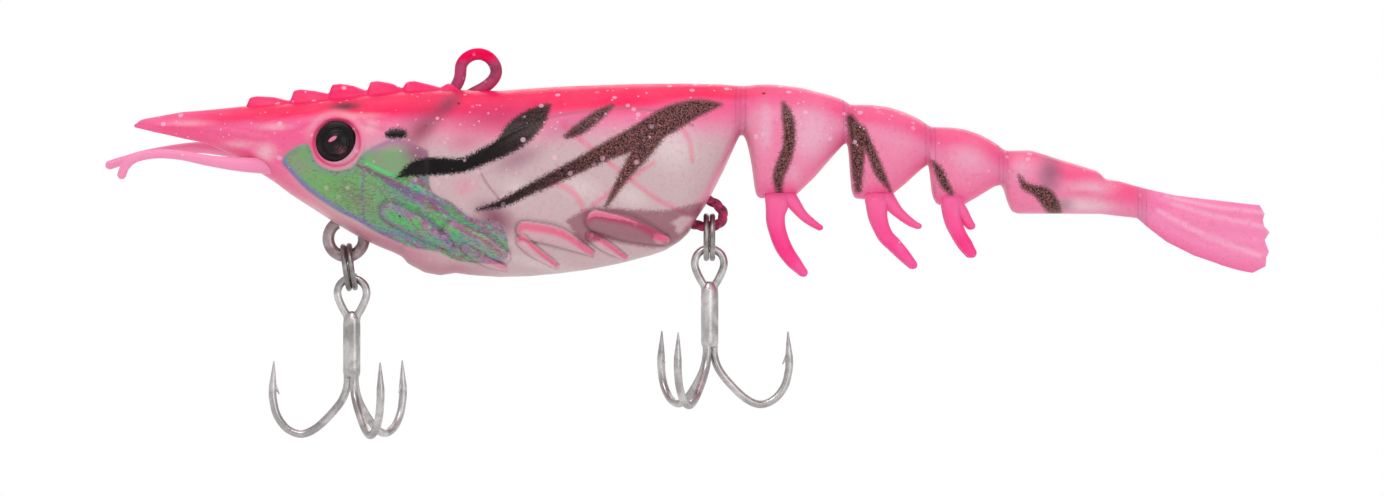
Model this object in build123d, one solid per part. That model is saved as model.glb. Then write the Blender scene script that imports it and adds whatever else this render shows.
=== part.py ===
from build123d import *
import os
from math import cos, sin, pi, radians, copysign

# A soft swimming-prawn lure, 100 mm long, built round a weighted jig-head harness.
# Millimetres. The origin is the centre of the tow eye, +X runs to the tail, +Z is up,
# and the lure is mirrored about the XZ plane.

# ---- driving dimensions -------------------------------------------------------------
body_rear_x = 22.75
web_gap = 0.85
skin_over_foil = 0.45
foil_thickness = 0.15
crest_thickness = 1.4

harness_wire_diameter = 1.05
tow_eye_radius = 1.6
hanger_radius = 1.57
hanger_x = -11.65
hanger_z = -14.69

ring_wire_diameter = 0.5
ring_coil_spacing = 0.54
ring_radius = 1.875
ring_play = 0.9
front_ring_tilt = 8.0

cord_diameter = 0.95
cord_x = 20.42
cord_bottom_z = -13.6

hook_wire_diameter = 0.7
hook_shank_radius = 0.41
hook_eye_radius = 1.3
hook_eye_play = 0.88
braze_radius = 0.8
braze_length = 4.64
neck_length = 1.23
front_treble_turn = -7.0
rear_treble_turn = 187.0

eye_x = -12.39
eye_z = -6.27
eye_radius = 1.9
leg_thickness = 1.1
leg_offset = 1.7
leg_splay = 8.0

# Cross-sections: X, top, bottom, half width.
CARAPACE = [
    (-30.25, -4.6, -5.0, 0.25),
    (-28.0, -3.8, -5.45, 0.6),
    (-24.6, -3.3, -6.15, 1.1),
    (-21.5, -2.95, -7.9, 2.3),
    (-18.5, -2.75, -9.6, 3.3),
    (-15.3, -2.5, -11.6, 4.15),
    (-11.3, -2.15, -14.1, 4.8),
    (-7.3, -1.75, -16.1, 5.15),
    (-3.5, -1.5, -17.7, 5.4),
    (2.0, -1.6, -18.1, 5.6),
    (8.5, -1.2, -17.7, 5.6),
    (14.0, -1.0, -16.6, 5.2),
    (18.5, -1.0, -15.6, 4.4),
    (body_rear_x, -1.25, -15.0, 2.7),
]
CORE = [
    (0.4, -7.6, -9.0, 0.6),
    (2.0, -5.9, -11.2, 2.2),
    (6.0, -4.3, -13.4, 3.5),
    (11.0, -3.4, -14.0, 3.7),
    (16.0, -3.6, -12.6, 3.2),
    (18.9, -5.0, -10.4, 1.9),
    (20.0, -6.6, -8.6, 0.6),
]
SEGMENTS = [
    [(23.6, -1.4, -10.9, 2.6), (25.4, -1.05, -11.3, 3.8), (28.4, -1.3, -11.4, 3.9),
     (30.5, -1.85, -11.1, 3.4), (32.25, -2.7, -10.6, 2.5)],
    [(33.05, -2.95, -11.0, 2.5), (34.6, -2.85, -11.4, 3.4), (36.6, -3.15, -11.4, 3.5),
     (38.3, -3.8, -11.1, 3.0), (39.5, -4.6, -10.8, 2.3)],
    [(40.3, -4.9, -11.7, 2.3), (41.6, -4.85, -12.0, 3.0), (43.4, -5.15, -12.0, 3.1),
     (44.9, -5.8, -11.6, 2.7), (45.95, -6.5, -11.2, 2.1)],
    [(46.7, -6.95, -12.2, 2.1), (48.4, -6.9, -12.75, 2.7), (52.0, -7.9, -12.7, 2.3),
     (55.4, -9.1, -12.75, 1.8), (58.25, -10.15, -13.0, 1.3)],
]
FAN = [
    (58.95, -10.3, -13.3, 1.2),
    (61.5, -10.8, -15.7, 1.15),
    (65.5, -11.3, -17.2, 0.95),
    (69.9, -11.6, -17.9, 0.6),
]


def section(x, top, bottom, half_width):
    """A rounded closed cross-section in the plane at X."""
    middle = (top + bottom) / 2
    half_height = (top - bottom) / 2
    points = []
    for step in range(16):
        angle = 2 * pi * step / 16
        across = copysign(abs(cos(angle)) ** 0.9, cos(angle))
        upward = copysign(abs(sin(angle)) ** 0.9, sin(angle))
        points.append((x, half_width * across, middle + half_height * upward))
    return make_face(Spline(*points, periodic=True))


def lofted(stations, inset=0.0):
    """A smooth body through its cross-sections, drawn in by the inset all round."""
    rows = []
    for x, top, bottom, half_width in stations:
        height = top - bottom
        trim = min(inset, half_width * 0.6, height * 0.3)
        rows.append(section(x, top - trim, bottom + trim, half_width - trim))
    return loft(rows)


def side_prism(points, half_thickness, offset=0.0):
    """A straight-edged side outline, thick across Y about the offset."""
    outline = Polyline(*[(x, offset, z) for x, z in points], close=True)
    return extrude(make_face(outline), amount=half_thickness, dir=(0, 1, 0), both=True)


def curved_prism(points, half_thickness):
    """A smooth closed side outline, thick across Y about the middle plane."""
    outline = Spline(*[(x, 0, z) for x, z in points], periodic=True)
    return extrude(make_face(outline), amount=half_thickness, dir=(0, 1, 0), both=True)


def wire_along(points, diameter, tangents=None):
    """A round wire whose centre line passes through the points."""
    path = Spline(*points, tangents=tangents)
    start = Plane(origin=path @ 0, z_dir=path % 0)
    return sweep(start * Circle(diameter / 2), path=path)


def tapered_tube(points, radii):
    """A soft limb along the points, its radius changing evenly spaced along it."""
    path = Spline(*points)
    rings = []
    for step, radius in enumerate(radii):
        place = step / (len(radii) - 1)
        plane = Plane(origin=path @ place, z_dir=path % place)
        rings.append(plane * Circle(radius))
    return loft(rings)


def round_points(centre_x, centre_z, radius, first, last, count):
    points = []
    for step in range(count):
        angle = radians(first + (last - first) * step / (count - 1))
        points.append((centre_x + radius * cos(angle), 0, centre_z + radius * sin(angle)))
    return points


# ---- front body ---------------------------------------------------------------------
def crest():
    teeth = [
        (-21.0, -4.2), (-20.4, -2.95), (-20.0, -2.25), (-18.4, -2.2), (-16.6, -2.5),
        (-16.2, -1.65), (-14.9, -1.6), (-13.2, -1.9), (-12.85, -1.1), (-11.4, -1.2),
        (-9.8, -1.6), (-9.45, -0.85), (-8.2, -0.95), (-6.65, -1.4), (-6.35, -0.85),
        (-5.0, -1.0), (-3.3, -1.4), (-2.6, -1.0), (-1.6, -1.7), (-1.6, -4.2),
    ]
    return side_prism(teeth, crest_thickness / 2)


def carapace_outside():
    slant = [
        (-40.0, 5.0), (body_rear_x + 2.0, 5.0), (body_rear_x + 2.0, -5.6), (body_rear_x, -5.6),
        (20.6, -11.0), (19.7, -12.05), (19.05, -13.4), (17.9, -14.9), (14.0, -17.5), (0.0, -25.0),
        (-40.0, -25.0),
    ]
    hull = lofted(CARAPACE) & side_prism(slant, 12.0)
    return hull + crest()


def clear_core():
    return lofted(CORE)


def harness_wire():
    points = [(-4.5, 0, -5.0), (-3.35, 0, -3.3), (-2.25, 0, -1.7)]
    points += round_points(0, 0, tow_eye_radius, 190, 0, 7)
    points += [(0.95, 0, -1.05), (-0.75, 0, -2.05), (-2.6, 0, -3.9), (-5.6, 0, -6.9)]
    points += [(-8.6, 0, -9.9), (-10.45, 0, -12.1)]
    points += round_points(hanger_x, hanger_z, hanger_radius, 20, -240, 9)
    return wire_along(points, harness_wire_diameter)


def ballast_weight(wire):
    axis_plane = Plane(origin=(-2.6, 0, -6.4), z_dir=(-1, 0, -1))
    rings = []
    for distance, radius in ((0.0, 1.2), (1.2, 2.2), (3.4, 2.9), (6.0, 2.7), (8.0, 1.3)):
        rings.append(axis_plane.offset(distance) * Circle(radius))
    return loft(rings) - wire


def foil(side):
    outline = [
        (-17.2, -8.1), (-16.3, -6.9), (-14.9, -6.6), (-14.6, -8.0), (-12.4, -9.0),
        (-10.3, -8.0), (-9.4, -6.6), (-7.2, -6.0), (-4.6, -6.9), (-4.0, -8.6),
        (-3.9, -10.4), (-0.6, -12.8), (2.1, -13.5), (2.7, -15.2), (1.6, -16.3),
        (-1.6, -16.3), (-3.6, -15.6), (-6.2, -14.9), (-9.6, -13.2), (-12.6, -11.6),
        (-15.2, -10.0),
    ]
    cutter = side_prism(outline, 4.0, offset=side * 5.6)
    outer = lofted(CARAPACE, skin_over_foil)
    inner = lofted(CARAPACE, skin_over_foil + foil_thickness)
    sheet = (outer - inner) & cutter
    return sheet.solids().sort_by(SortBy.VOLUME)[-1]


def eye(side):
    bar = Pos(eye_x, side * 4.5, eye_z) * Rot(90, 0, 0) * Cylinder(eye_radius, 3.0)
    ball = Pos(eye_x, side * 2.75, eye_z) * Sphere(2.5)
    return bar & ball


def antenna(side):
    if side < 0:
        points = [
            (-18.9, -1.5, -8.3), (-21.2, -1.9, -8.5), (-23.6, -2.0, -8.1), (-26.6, -2.0, -7.4),
            (-28.3, -2.0, -7.3), (-30.1, -2.0, -7.6), (-31.1, -2.0, -8.4), (-31.4, -2.0, -9.4),
        ]
    else:
        points = [
            (-19.2, 1.5, -7.2), (-21.8, 1.9, -7.1), (-25.4, 2.0, -6.6), (-29.0, 2.0, -7.0),
            (-31.3, 2.0, -7.7), (-33.35, 2.0, -8.4),
        ]
    return tapered_tube(points, [0.6, 0.6, 0.55, 0.5, 0.45, 0.4, 0.3])


def rear_cord_loop():
    points = [
        (15.9, 0, -10.6), (17.6, 0, -11.0), (19.3, 0, -11.1), (20.6, 0, -11.4),
        (21.5, 0, -12.15), (21.6, 0, -12.95), (21.1, 0, -13.5), (cord_x, 0, cord_bottom_z),
        (19.5, 0, -13.55), (18.4, 0, -13.2), (17.2, 0, -12.75), (15.6, 0, -12.6),
    ]
    return wire_along(points, cord_diameter)


# ---- tail ---------------------------------------------------------------------------
def tail_segment(number):
    outlines = [
        [(23.6, 1), (23.6, -5.7), (24.2, -8.3), (24.4, -10.8), (24.9, -11.4), (28.0, -11.4),
         (29.7, -9.3), (31.9, -6.4), (32.25, -6.0), (32.25, 1)],
        [(33.05, 1), (33.05, -10.6), (33.4, -11.4), (36.3, -11.4), (38.0, -9.6),
         (39.2, -8.3), (39.5, -7.8), (39.5, 1)],
        [(40.3, 1), (40.3, -11.0), (40.7, -12.1), (42.9, -12.1), (44.8, -10.6),
         (45.7, -10.0), (45.95, -9.6), (45.95, 1)],
        [(46.7, 1), (46.7, -11.4), (47.2, -12.9), (58.25, -13.4), (58.25, 1)],
    ]
    return lofted(SEGMENTS[number - 1]) & side_prism(outlines[number - 1], 8.0)


def web(number, before, after):
    spans = [
        (body_rear_x, 23.6, -1.75, -5.3, 2.0),
        (32.25, 33.05, -3.3, -5.7, 1.9),
        (39.5, 40.3, -5.2, -7.6, 1.8),
        (45.95, 46.7, -7.2, -9.5, 1.6),
        (58.25, 58.95, -10.5, -12.7, 0.95),
    ]
    start, end, top, bottom, half_width = spans[number - 1]
    stations = [(start - 0.6, top, bottom, half_width), (end + 0.6, top, bottom, half_width)]
    return lofted(stations) - before - after


def tail_fan():
    outline = [
        (58.95, -9.0), (71.0, -10.5), (69.2, -11.7), (69.5, -12.3), (69.45, -12.95),
        (69.05, -13.2), (69.6, -13.9), (69.8, -14.6), (69.65, -15.1), (69.35, -15.35),
        (69.8, -16.0), (69.75, -16.45), (69.05, -16.55), (69.2, -17.0), (68.6, -17.6),
        (65.7, -17.4), (60.0, -18.0), (58.95, -14.0),
    ]
    return lofted(FAN) & side_prism(outline, 4.0)


def swimming_leg(number, side, segment):
    long_branches = [
        [(25.3, -9.8), (25.35, -11.6), (25.45, -13.2), (25.8, -14.8), (26.45, -16.2),
         (27.35, -17.25), (28.6, -18.15), (29.0, -17.8), (28.2, -17.0), (27.5, -15.9),
         (27.1, -14.7), (27.0, -13.6), (27.6, -12.3), (28.0, -11.2), (27.8, -9.8)],
        [(34.0, -9.8), (34.1, -11.5), (34.55, -13.2), (35.5, -15.2), (36.9, -16.55),
         (38.2, -17.4), (38.55, -17.05), (37.65, -16.2), (36.5, -14.5), (36.1, -13.0),
         (36.5, -11.4), (36.4, -9.8)],
        [(40.9, -10.6), (40.85, -12.0), (41.2, -13.3), (41.9, -14.9), (43.15, -16.25),
         (43.9, -16.0), (43.3, -14.9), (42.6, -13.5), (42.9, -12.1), (42.8, -10.6)],
    ]
    short_branches = [
        [(26.8, -10.6), (28.0, -10.8), (28.7, -12.0), (29.6, -13.2), (30.5, -14.0),
         (30.2, -14.35), (29.0, -13.8), (27.8, -12.8), (26.9, -12.0)],
        [(35.4, -10.6), (36.6, -10.9), (37.3, -12.1), (38.3, -13.2), (39.2, -13.85),
         (38.95, -14.2), (37.7, -13.8), (36.5, -12.9), (35.5, -12.2)],
        [(41.7, -11.2), (42.6, -11.6), (43.3, -12.7), (43.7, -13.5), (43.45, -14.1),
         (42.6, -13.6), (41.9, -12.8)],
    ]
    thick = leg_thickness / 2
    blade = curved_prism(long_branches[number - 1], thick)
    blade = blade + curved_prism(short_branches[number - 1], thick * 0.8)
    root = Pos(0, side * leg_offset, -10.6)
    turned = root * Rot(side * leg_splay, 0, 0) * Pos(0, 0, 10.6) * blade
    solid = turned - segment
    return solid.solids().sort_by(SortBy.VOLUME)[-1]


# ---- split rings and treble hooks ------------------------------------------------------
def split_ring(x, top_z, tilt):
    points = []
    for step in range(27):
        angle = 22 + (676.0 / 26) * step
        run = min(1.0, max(0.0, (angle - 328) / 64))
        smooth = run * run * (3 - 2 * run)
        along = ring_coil_spacing * (smooth - 0.5)
        turn = radians(angle)
        points.append((along, ring_radius * cos(turn), ring_radius * sin(turn)))
    coil = wire_along(points, ring_wire_diameter)
    return Pos(x, 0, top_z) * Rot(0, -tilt, 0) * Pos(0, 0, -ring_radius) * coil


def arm(azimuth):
    """One hook, from the top of its straight shank to its point, without the eye."""
    profile = [
        (hook_shank_radius, 0.0), (0.45, -1.06), (0.97, -2.4), (2.3, -3.97), (3.5, -4.95),
        (4.65, -5.3), (5.85, -4.8), (6.7, -3.7), (7.06, -2.4), (7.12, -1.5),
    ]
    points = [Vector(r, 0, z) for r, z in profile]
    tip = Vector(7.0, 0, 1.15)
    wire_radius = hook_wire_diameter / 2
    bend = wire_along(points, hook_wire_diameter, ((0, 0, -1), tip - points[-1]))
    shank = cone_between(points[0], Vector(hook_shank_radius, 0, braze_length), wire_radius, wire_radius)
    spike = cone_between(points[-1], tip, wire_radius, 0.04)
    barb = cone_between(Vector(7.1, 0, -0.7), Vector(6.5, 0, -1.8), 0.18, 0.03)
    return Rot(0, 0, azimuth) * (bend + shank + spike + barb)


def cone_between(base, tip, base_radius, tip_radius):
    length = (tip - base).length
    plane = Plane(origin=base, z_dir=tip - base)
    on_base = (Align.CENTER, Align.CENTER, Align.MIN)
    if base_radius == tip_radius:
        return plane * Cylinder(base_radius, length, align=on_base)
    return plane * Cone(base_radius, tip_radius, length, align=on_base)


def half_eye(side):
    """Half of the teardrop eye, from the top of one shank to the crown."""
    centre = braze_length + neck_length + hook_eye_radius
    outline = [
        (hook_shank_radius, braze_length), (0.46, centre - 2.0), (0.78, centre - 1.45),
        (1.14, centre - 0.75), (hook_eye_radius, centre), (0.92, centre + 0.92),
        (0.0, centre + hook_eye_radius),
    ]
    points = [(side * x, 0, z) for x, z in outline]
    return wire_along(points, hook_wire_diameter, ((0, 0, 1), (-side, 0, 0)))


def double_hook():
    """The wire that makes the eye and two of the three hooks."""
    return half_eye(-1) + half_eye(1) + arm(180) + arm(60)


def braze(double, single):
    """The solder that fills and sleeves the three shanks and closes the neck."""
    sleeve = Pos(0, 0, braze_length / 2) * Cylinder(braze_radius, braze_length)
    on_base = (Align.CENTER, Align.CENTER, Align.MIN)
    collar = Pos(0, 0, braze_length) * Cone(braze_radius, 0.55, 0.75, align=on_base)
    filled = sleeve + collar - double - single
    return filled.solids().sort_by(SortBy.VOLUME)[-1]


def treble():
    double = double_hook()
    single = arm(-60)
    return double, single, braze(double, single)


def hang_treble(pieces, x, strand_z, turn):
    eye_top = braze_length + neck_length + 2 * hook_eye_radius
    place = Pos(x, 0, strand_z + hook_eye_play - eye_top) * Rot(0, 0, turn)
    return [place * piece for piece in pieces]


# ---- assembly -----------------------------------------------------------------------------
nodes = {}
wire = harness_wire()
core = clear_core()
weight = ballast_weight(wire)
cord = rear_cord_loop()
body = carapace_outside()
for piece in (core, weight, wire, cord):
    body = body - piece
nodes["clear_core"] = core - cord
nodes["ballast_weight"] = weight
nodes["harness_wire"] = wire
nodes["rear_cord_loop"] = cord
for side, word in ((-1, "left"), (1, "right")):
    nodes["foil_" + word] = foil(side) - weight
    nodes["eye_" + word] = eye(side)
    nodes["antenna_" + word] = antenna(side)
    body = body - nodes["foil_" + word] - nodes["eye_" + word] - nodes["antenna_" + word]
nodes["soft_carapace"] = body

chain = [body]
for number in (1, 2, 3, 4):
    nodes["tail_segment_" + str(number)] = tail_segment(number)
    chain.append(nodes["tail_segment_" + str(number)])
nodes["tail_fan"] = tail_fan()
chain.append(nodes["tail_fan"])
for number in (1, 2, 3, 4, 5):
    nodes["web_" + str(number)] = web(number, chain[number - 1], chain[number])
for number in (1, 2, 3):
    for side, word in ((-1, "left"), (1, "right")):
        leg = swimming_leg(number, side, chain[number])
        nodes["swimming_leg_" + str(number) + "_" + word] = leg

front_ring_top = hanger_z - hanger_radius + ring_play
rear_ring_top = cord_bottom_z + ring_play
nodes["front_split_ring"] = split_ring(hanger_x, front_ring_top, front_ring_tilt)
nodes["rear_split_ring"] = split_ring(cord_x, rear_ring_top, 0.0)
front_strand_x = hanger_x + 2 * ring_radius * sin(radians(front_ring_tilt))
front_strand_z = front_ring_top - 2 * ring_radius * cos(radians(front_ring_tilt))
rear_strand_z = rear_ring_top - 2 * ring_radius
hooks = treble()
front_hook = hang_treble(hooks, front_strand_x, front_strand_z, front_treble_turn)
rear_hook = hang_treble(hooks, cord_x, rear_strand_z, rear_treble_turn)
for word, pieces in (("front", front_hook), ("rear", rear_hook)):
    nodes[word + "_treble_double"] = pieces[0]
    nodes[word + "_treble_single"] = pieces[1]
    nodes[word + "_treble_braze"] = pieces[2]

os.makedirs("parts", exist_ok=True)
for name, shape in nodes.items():
    export_step(shape, "parts/" + name + ".step")
    print(name, round(shape.volume, 1))
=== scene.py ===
import bmesh
import bpy
import math
import numpy as np
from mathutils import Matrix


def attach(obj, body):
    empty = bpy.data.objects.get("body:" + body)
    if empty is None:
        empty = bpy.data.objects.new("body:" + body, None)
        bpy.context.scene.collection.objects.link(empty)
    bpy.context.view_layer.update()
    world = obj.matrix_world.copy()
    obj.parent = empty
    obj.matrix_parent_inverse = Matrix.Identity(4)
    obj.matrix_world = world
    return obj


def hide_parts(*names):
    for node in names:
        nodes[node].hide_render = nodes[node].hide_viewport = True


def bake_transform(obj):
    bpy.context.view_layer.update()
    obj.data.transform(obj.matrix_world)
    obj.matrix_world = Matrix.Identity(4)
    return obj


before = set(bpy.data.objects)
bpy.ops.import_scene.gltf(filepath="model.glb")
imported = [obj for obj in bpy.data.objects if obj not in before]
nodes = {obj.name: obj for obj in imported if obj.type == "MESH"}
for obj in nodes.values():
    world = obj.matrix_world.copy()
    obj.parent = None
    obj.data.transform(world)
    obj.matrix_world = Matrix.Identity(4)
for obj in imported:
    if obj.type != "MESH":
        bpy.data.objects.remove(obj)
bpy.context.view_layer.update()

MM = 0.001
FAR_OUTSIDE = -9.0

# ---- outline of the soft body, side on, in millimetres ----
BACK = [
    (-30.4, -4.75), (-29.83, -4.2), (-28.5, -3.95), (-26.0, -3.5), (-24.5, -3.4), (-20.5, -3.0),
    (-16.6, -2.72), (-13.0, -2.35), (-9.5, -1.95), (-6.4, -1.65), (-2.9, -1.55), (1.9, -1.65),
    (4.6, -1.45), (7.2, -1.28), (12.5, -1.08), (17.8, -1.0), (21.5, -1.08), (23.1, -1.22),
    (23.3, -1.25),
    (24.9, -1.1), (26.2, -1.1), (28.4, -1.35), (31.1, -2.05), (32.4, -2.5), (32.7, -2.85),
    (33.0, -2.9), (34.2, -2.87), (35.0, -2.93), (36.4, -3.12), (37.7, -3.55), (39.0, -4.17),
    (39.75, -4.7),
    (39.95, -4.85), (41.7, -4.87), (43.0, -5.05), (44.3, -5.5), (45.6, -6.2), (46.3, -6.75),
    (46.5, -6.95), (48.8, -6.9), (51.5, -7.75), (54.9, -8.8), (55.25, -9.45), (56.5, -9.6),
    (58.8, -10.24), (61.5, -10.86), (64.2, -11.2), (66.8, -11.47), (69.9, -11.75),
]
BELLY = [
    (-30.4, -4.85), (-29.83, -5.0), (-28.5, -5.32), (-27.2, -5.6), (-25.9, -5.9), (-24.4, -6.2),
    (-23.2, -6.65), (-21.4, -7.5), (-20.1, -8.35), (-19.0, -9.05), (-17.9, -9.75), (-16.6, -10.75),
    (-15.3, -11.6), (-13.9, -12.5), (-12.6, -13.35), (-11.3, -14.12), (-10.0, -14.83),
    (-8.65, -15.45), (-7.4, -15.95), (-6.7, -16.3), (-6.2, -16.9), (-4.7, -17.7), (-3.35, -17.95),
    (-2.0, -17.74), (-0.7, -17.92), (1.9, -18.1), (4.6, -18.02), (7.2, -17.78), (9.9, -17.42),
    (12.5, -16.9), (15.2, -16.2), (16.5, -15.75), (17.8, -14.95), (18.6, -14.2), (19.35, -12.85),
    (20.2, -11.6), (21.7, -8.65), (22.9, -6.0), (23.15, -5.55), (23.45, -5.6), (23.75, -6.2),
    (24.1, -7.8), (24.35, -9.6), (24.45, -10.75), (24.8, -11.12), (25.4, -11.16), (27.4, -11.1),
    (28.1, -10.85), (29.7, -9.3), (31.1, -7.7), (32.2, -6.45), (32.5, -6.25), (32.75, -6.6),
    (32.82, -8.5), (32.9, -10.5), (33.25, -11.15), (34.2, -11.25), (36.2, -11.1), (37.7, -9.9),
    (39.0, -8.7), (39.7, -8.15), (39.88, -8.3), (39.95, -9.7), (40.05, -10.9), (40.5, -11.68),
    (41.2, -11.8), (42.8, -11.78), (44.3, -10.9), (45.6, -10.1), (46.2, -9.95), (46.45, -10.4),
    (46.7, -11.4), (47.1, -12.3), (47.7, -12.5), (51.0, -12.5), (54.9, -12.52), (58.2, -12.9),
    (59.1, -13.7), (60.8, -15.0), (63.2, -16.2), (65.7, -17.05), (67.3, -17.36), (69.9, -17.75),
]
HALF_WIDTH = [
    (-30.4, 0.12), (-29.5, 0.4), (-28.0, 0.6), (-24.5, 1.1), (-21.0, 2.3), (-18.5, 3.3),
    (-15.3, 4.1), (-11.3, 4.75), (-7.3, 5.1), (-3.5, 5.35), (2.0, 5.55), (8.5, 5.55),
    (14.0, 5.2), (18.5, 4.4), (21.5, 3.3), (22.8, 2.75), (23.2, 2.5), (23.7, 2.85), (25.4, 3.75),
    (28.4, 3.85), (30.5, 3.4), (32.1, 2.6), (32.6, 2.3), (33.1, 2.6), (34.6, 3.35), (36.6, 3.45),
    (38.3, 3.0), (39.4, 2.4), (39.9, 2.15), (40.4, 2.4), (41.6, 2.95), (43.4, 3.05), (44.9, 2.65),
    (45.9, 2.15), (46.3, 1.95), (46.8, 2.15), (48.4, 2.6), (52.0, 2.25), (55.0, 1.85), (55.4, 1.6),
    (58.2, 1.2), (59.5, 1.1), (63.0, 0.95), (66.0, 0.8), (69.9, 0.5),
]
# where each web's two halves meet, and the webs' first and last X
WEB_X = (23.17, 32.65, 39.86, 46.32, 58.6)
WEB_SPANS = ((22.75, 23.6), (32.25, 33.05), (39.5, 40.3), (45.95, 46.7), (58.25, 58.95))
CHAIN = ("lure_body", "tail_section_1", "tail_section_2", "tail_section_3", "tail_section_4",
         "tail_fan_body")
# the eye's X, its Z and its radius
EYE = (-12.28, -6.27, 1.98)
FAN_END = 69.75


def smooth_profile(table, blur):
    """A drawn outline, given as points, as a smooth function of X."""
    step = 0.02
    xs = np.arange(-31.0, 71.0, step)
    zs = np.interp(xs, [p[0] for p in table], [p[1] for p in table])
    reach = int(4 * blur / step)
    window = np.exp(-0.5 * (np.arange(-reach, reach + 1) * step / blur) ** 2)
    padded = np.concatenate([np.full(reach, zs[0]), zs, np.full(reach, zs[-1])])
    soft = np.convolve(padded, window / window.sum(), "valid")
    return lambda x: np.interp(x, xs, soft)


back = smooth_profile(BACK, 0.22)
belly = smooth_profile(BELLY, 0.1)
half_width = smooth_profile(HALF_WIDTH, 0.3)


# ---- measuring helpers on the side view ----
def smoothstep(low, high, value):
    """0 at low and 1 at high with a soft start and end; falls where low is above high."""
    t = np.clip((value - low) / (high - low), 0.0, 1.0)
    return t * t * (3.0 - 2.0 * t)


def stretches(x, z, points):
    """Distance from each stretch of a brush stroke, and the stroke's half width beside it."""
    for (x0, z0, w0), (x1, z1, w1) in zip(points, points[1:]):
        dx, dz = x1 - x0, z1 - z0
        t = np.clip(((x - x0) * dx + (z - z0) * dz) / (dx * dx + dz * dz), 0.0, 1.0)
        yield np.hypot(x - x0 - t * dx, z - z0 - t * dz), w0 + (w1 - w0) * t


def stroke(x, z, points):
    """How far inside a brush stroke of varying half width: 1 on its line, 0 on its edge."""
    best = np.full(np.shape(x), FAR_OUTSIDE)
    for distance, width in stretches(x, z, points):
        best = np.maximum(best, 1.0 - distance / width)
    return best


def stroke_depth(x, z, points):
    """Signed depth inside a brush stroke, in millimetres."""
    best = np.full(np.shape(x), FAR_OUTSIDE)
    for distance, width in stretches(x, z, points):
        best = np.maximum(best, width - distance)
    return best


def depth_in(x, z, outline):
    """Signed distance inside a closed outline, in millimetres."""
    inside = np.zeros(np.shape(x), bool)
    nearest = np.full(np.shape(x), np.inf)
    for (x0, z0), (x1, z1) in zip(outline, outline[1:] + outline[:1]):
        crosses = (z0 > z) != (z1 > z)
        at = x0 + (z - z0) / (z1 - z0 if z1 != z0 else 1e-9) * (x1 - x0)
        inside ^= crosses & (x < at)
        dx, dz = x1 - x0, z1 - z0
        t = np.clip(((x - x0) * dx + (z - z0) * dz) / (dx * dx + dz * dz), 0.0, 1.0)
        nearest = np.minimum(nearest, np.hypot(x - x0 - t * dx, z - z0 - t * dz))
    return np.where(inside, nearest, -nearest)


def oval_radius(x, z, place, size, turn=0.0):
    """0 at the middle of an oval and 1 on its edge."""
    c, s = math.cos(math.radians(turn)), math.sin(math.radians(turn))
    u = ((x - place[0]) * c + (z - place[1]) * s) / size[0]
    v = (-(x - place[0]) * s + (z - place[1]) * c) / size[1]
    return np.sqrt(u * u + v * v)


def blob(x, z, place, size, turn=0.0):
    """1 at the middle of a soft oval, 0 outside it."""
    return smoothstep(0.0, 1.0, 1.0 - oval_radius(x, z, place, size, turn))


def from_eye(x, z):
    """Distance from the middle of the eye, in millimetres."""
    return np.hypot(x - EYE[0], z - EYE[1])


def hump(value, middle, width):
    """1 where the value is at the middle, fading to 0 on both sides of it."""
    return np.exp(-(((value - middle) / width) ** 2))


def running_total(steps):
    """Length travelled before each point, from the lengths of the steps between them."""
    return np.concatenate([[0.0], np.cumsum(steps)])


def round_turn(count):
    """Angles evenly spaced round a full turn."""
    return np.linspace(0.0, 2.0 * np.pi, count, endpoint=False)


def spline_points(points, steps):
    """Points evenly spaced on a Catmull-Rom curve through the given ones."""
    p = np.array(points, float)
    p = np.vstack([2 * p[0] - p[1], p, 2 * p[-1] - p[-2]])
    dense = []
    for i in range(1, len(p) - 2):
        for t in np.linspace(0.0, 1.0, 24, endpoint=False):
            a, b, c, d = p[i - 1], p[i], p[i + 1], p[i + 2]
            dense.append(0.5 * (2 * b + (c - a) * t + (2 * a - 5 * b + 4 * c - d) * t ** 2
                                + (3 * b - a - 3 * c + d) * t ** 3))
    dense.append(p[-2])
    dense = np.array(dense)
    along = running_total(np.linalg.norm(np.diff(dense, axis=0), axis=1))
    wanted = np.linspace(0.0, along[-1], steps)
    return np.stack([np.interp(wanted, along, dense[:, k]) for k in range(p.shape[1])], axis=-1)


def flowing(points, steps=6):
    """The same brush stroke or outline with its corners rounded into a curve."""
    return [tuple(p) for p in spline_points(points, steps * (len(points) - 1) + 1)]


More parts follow.
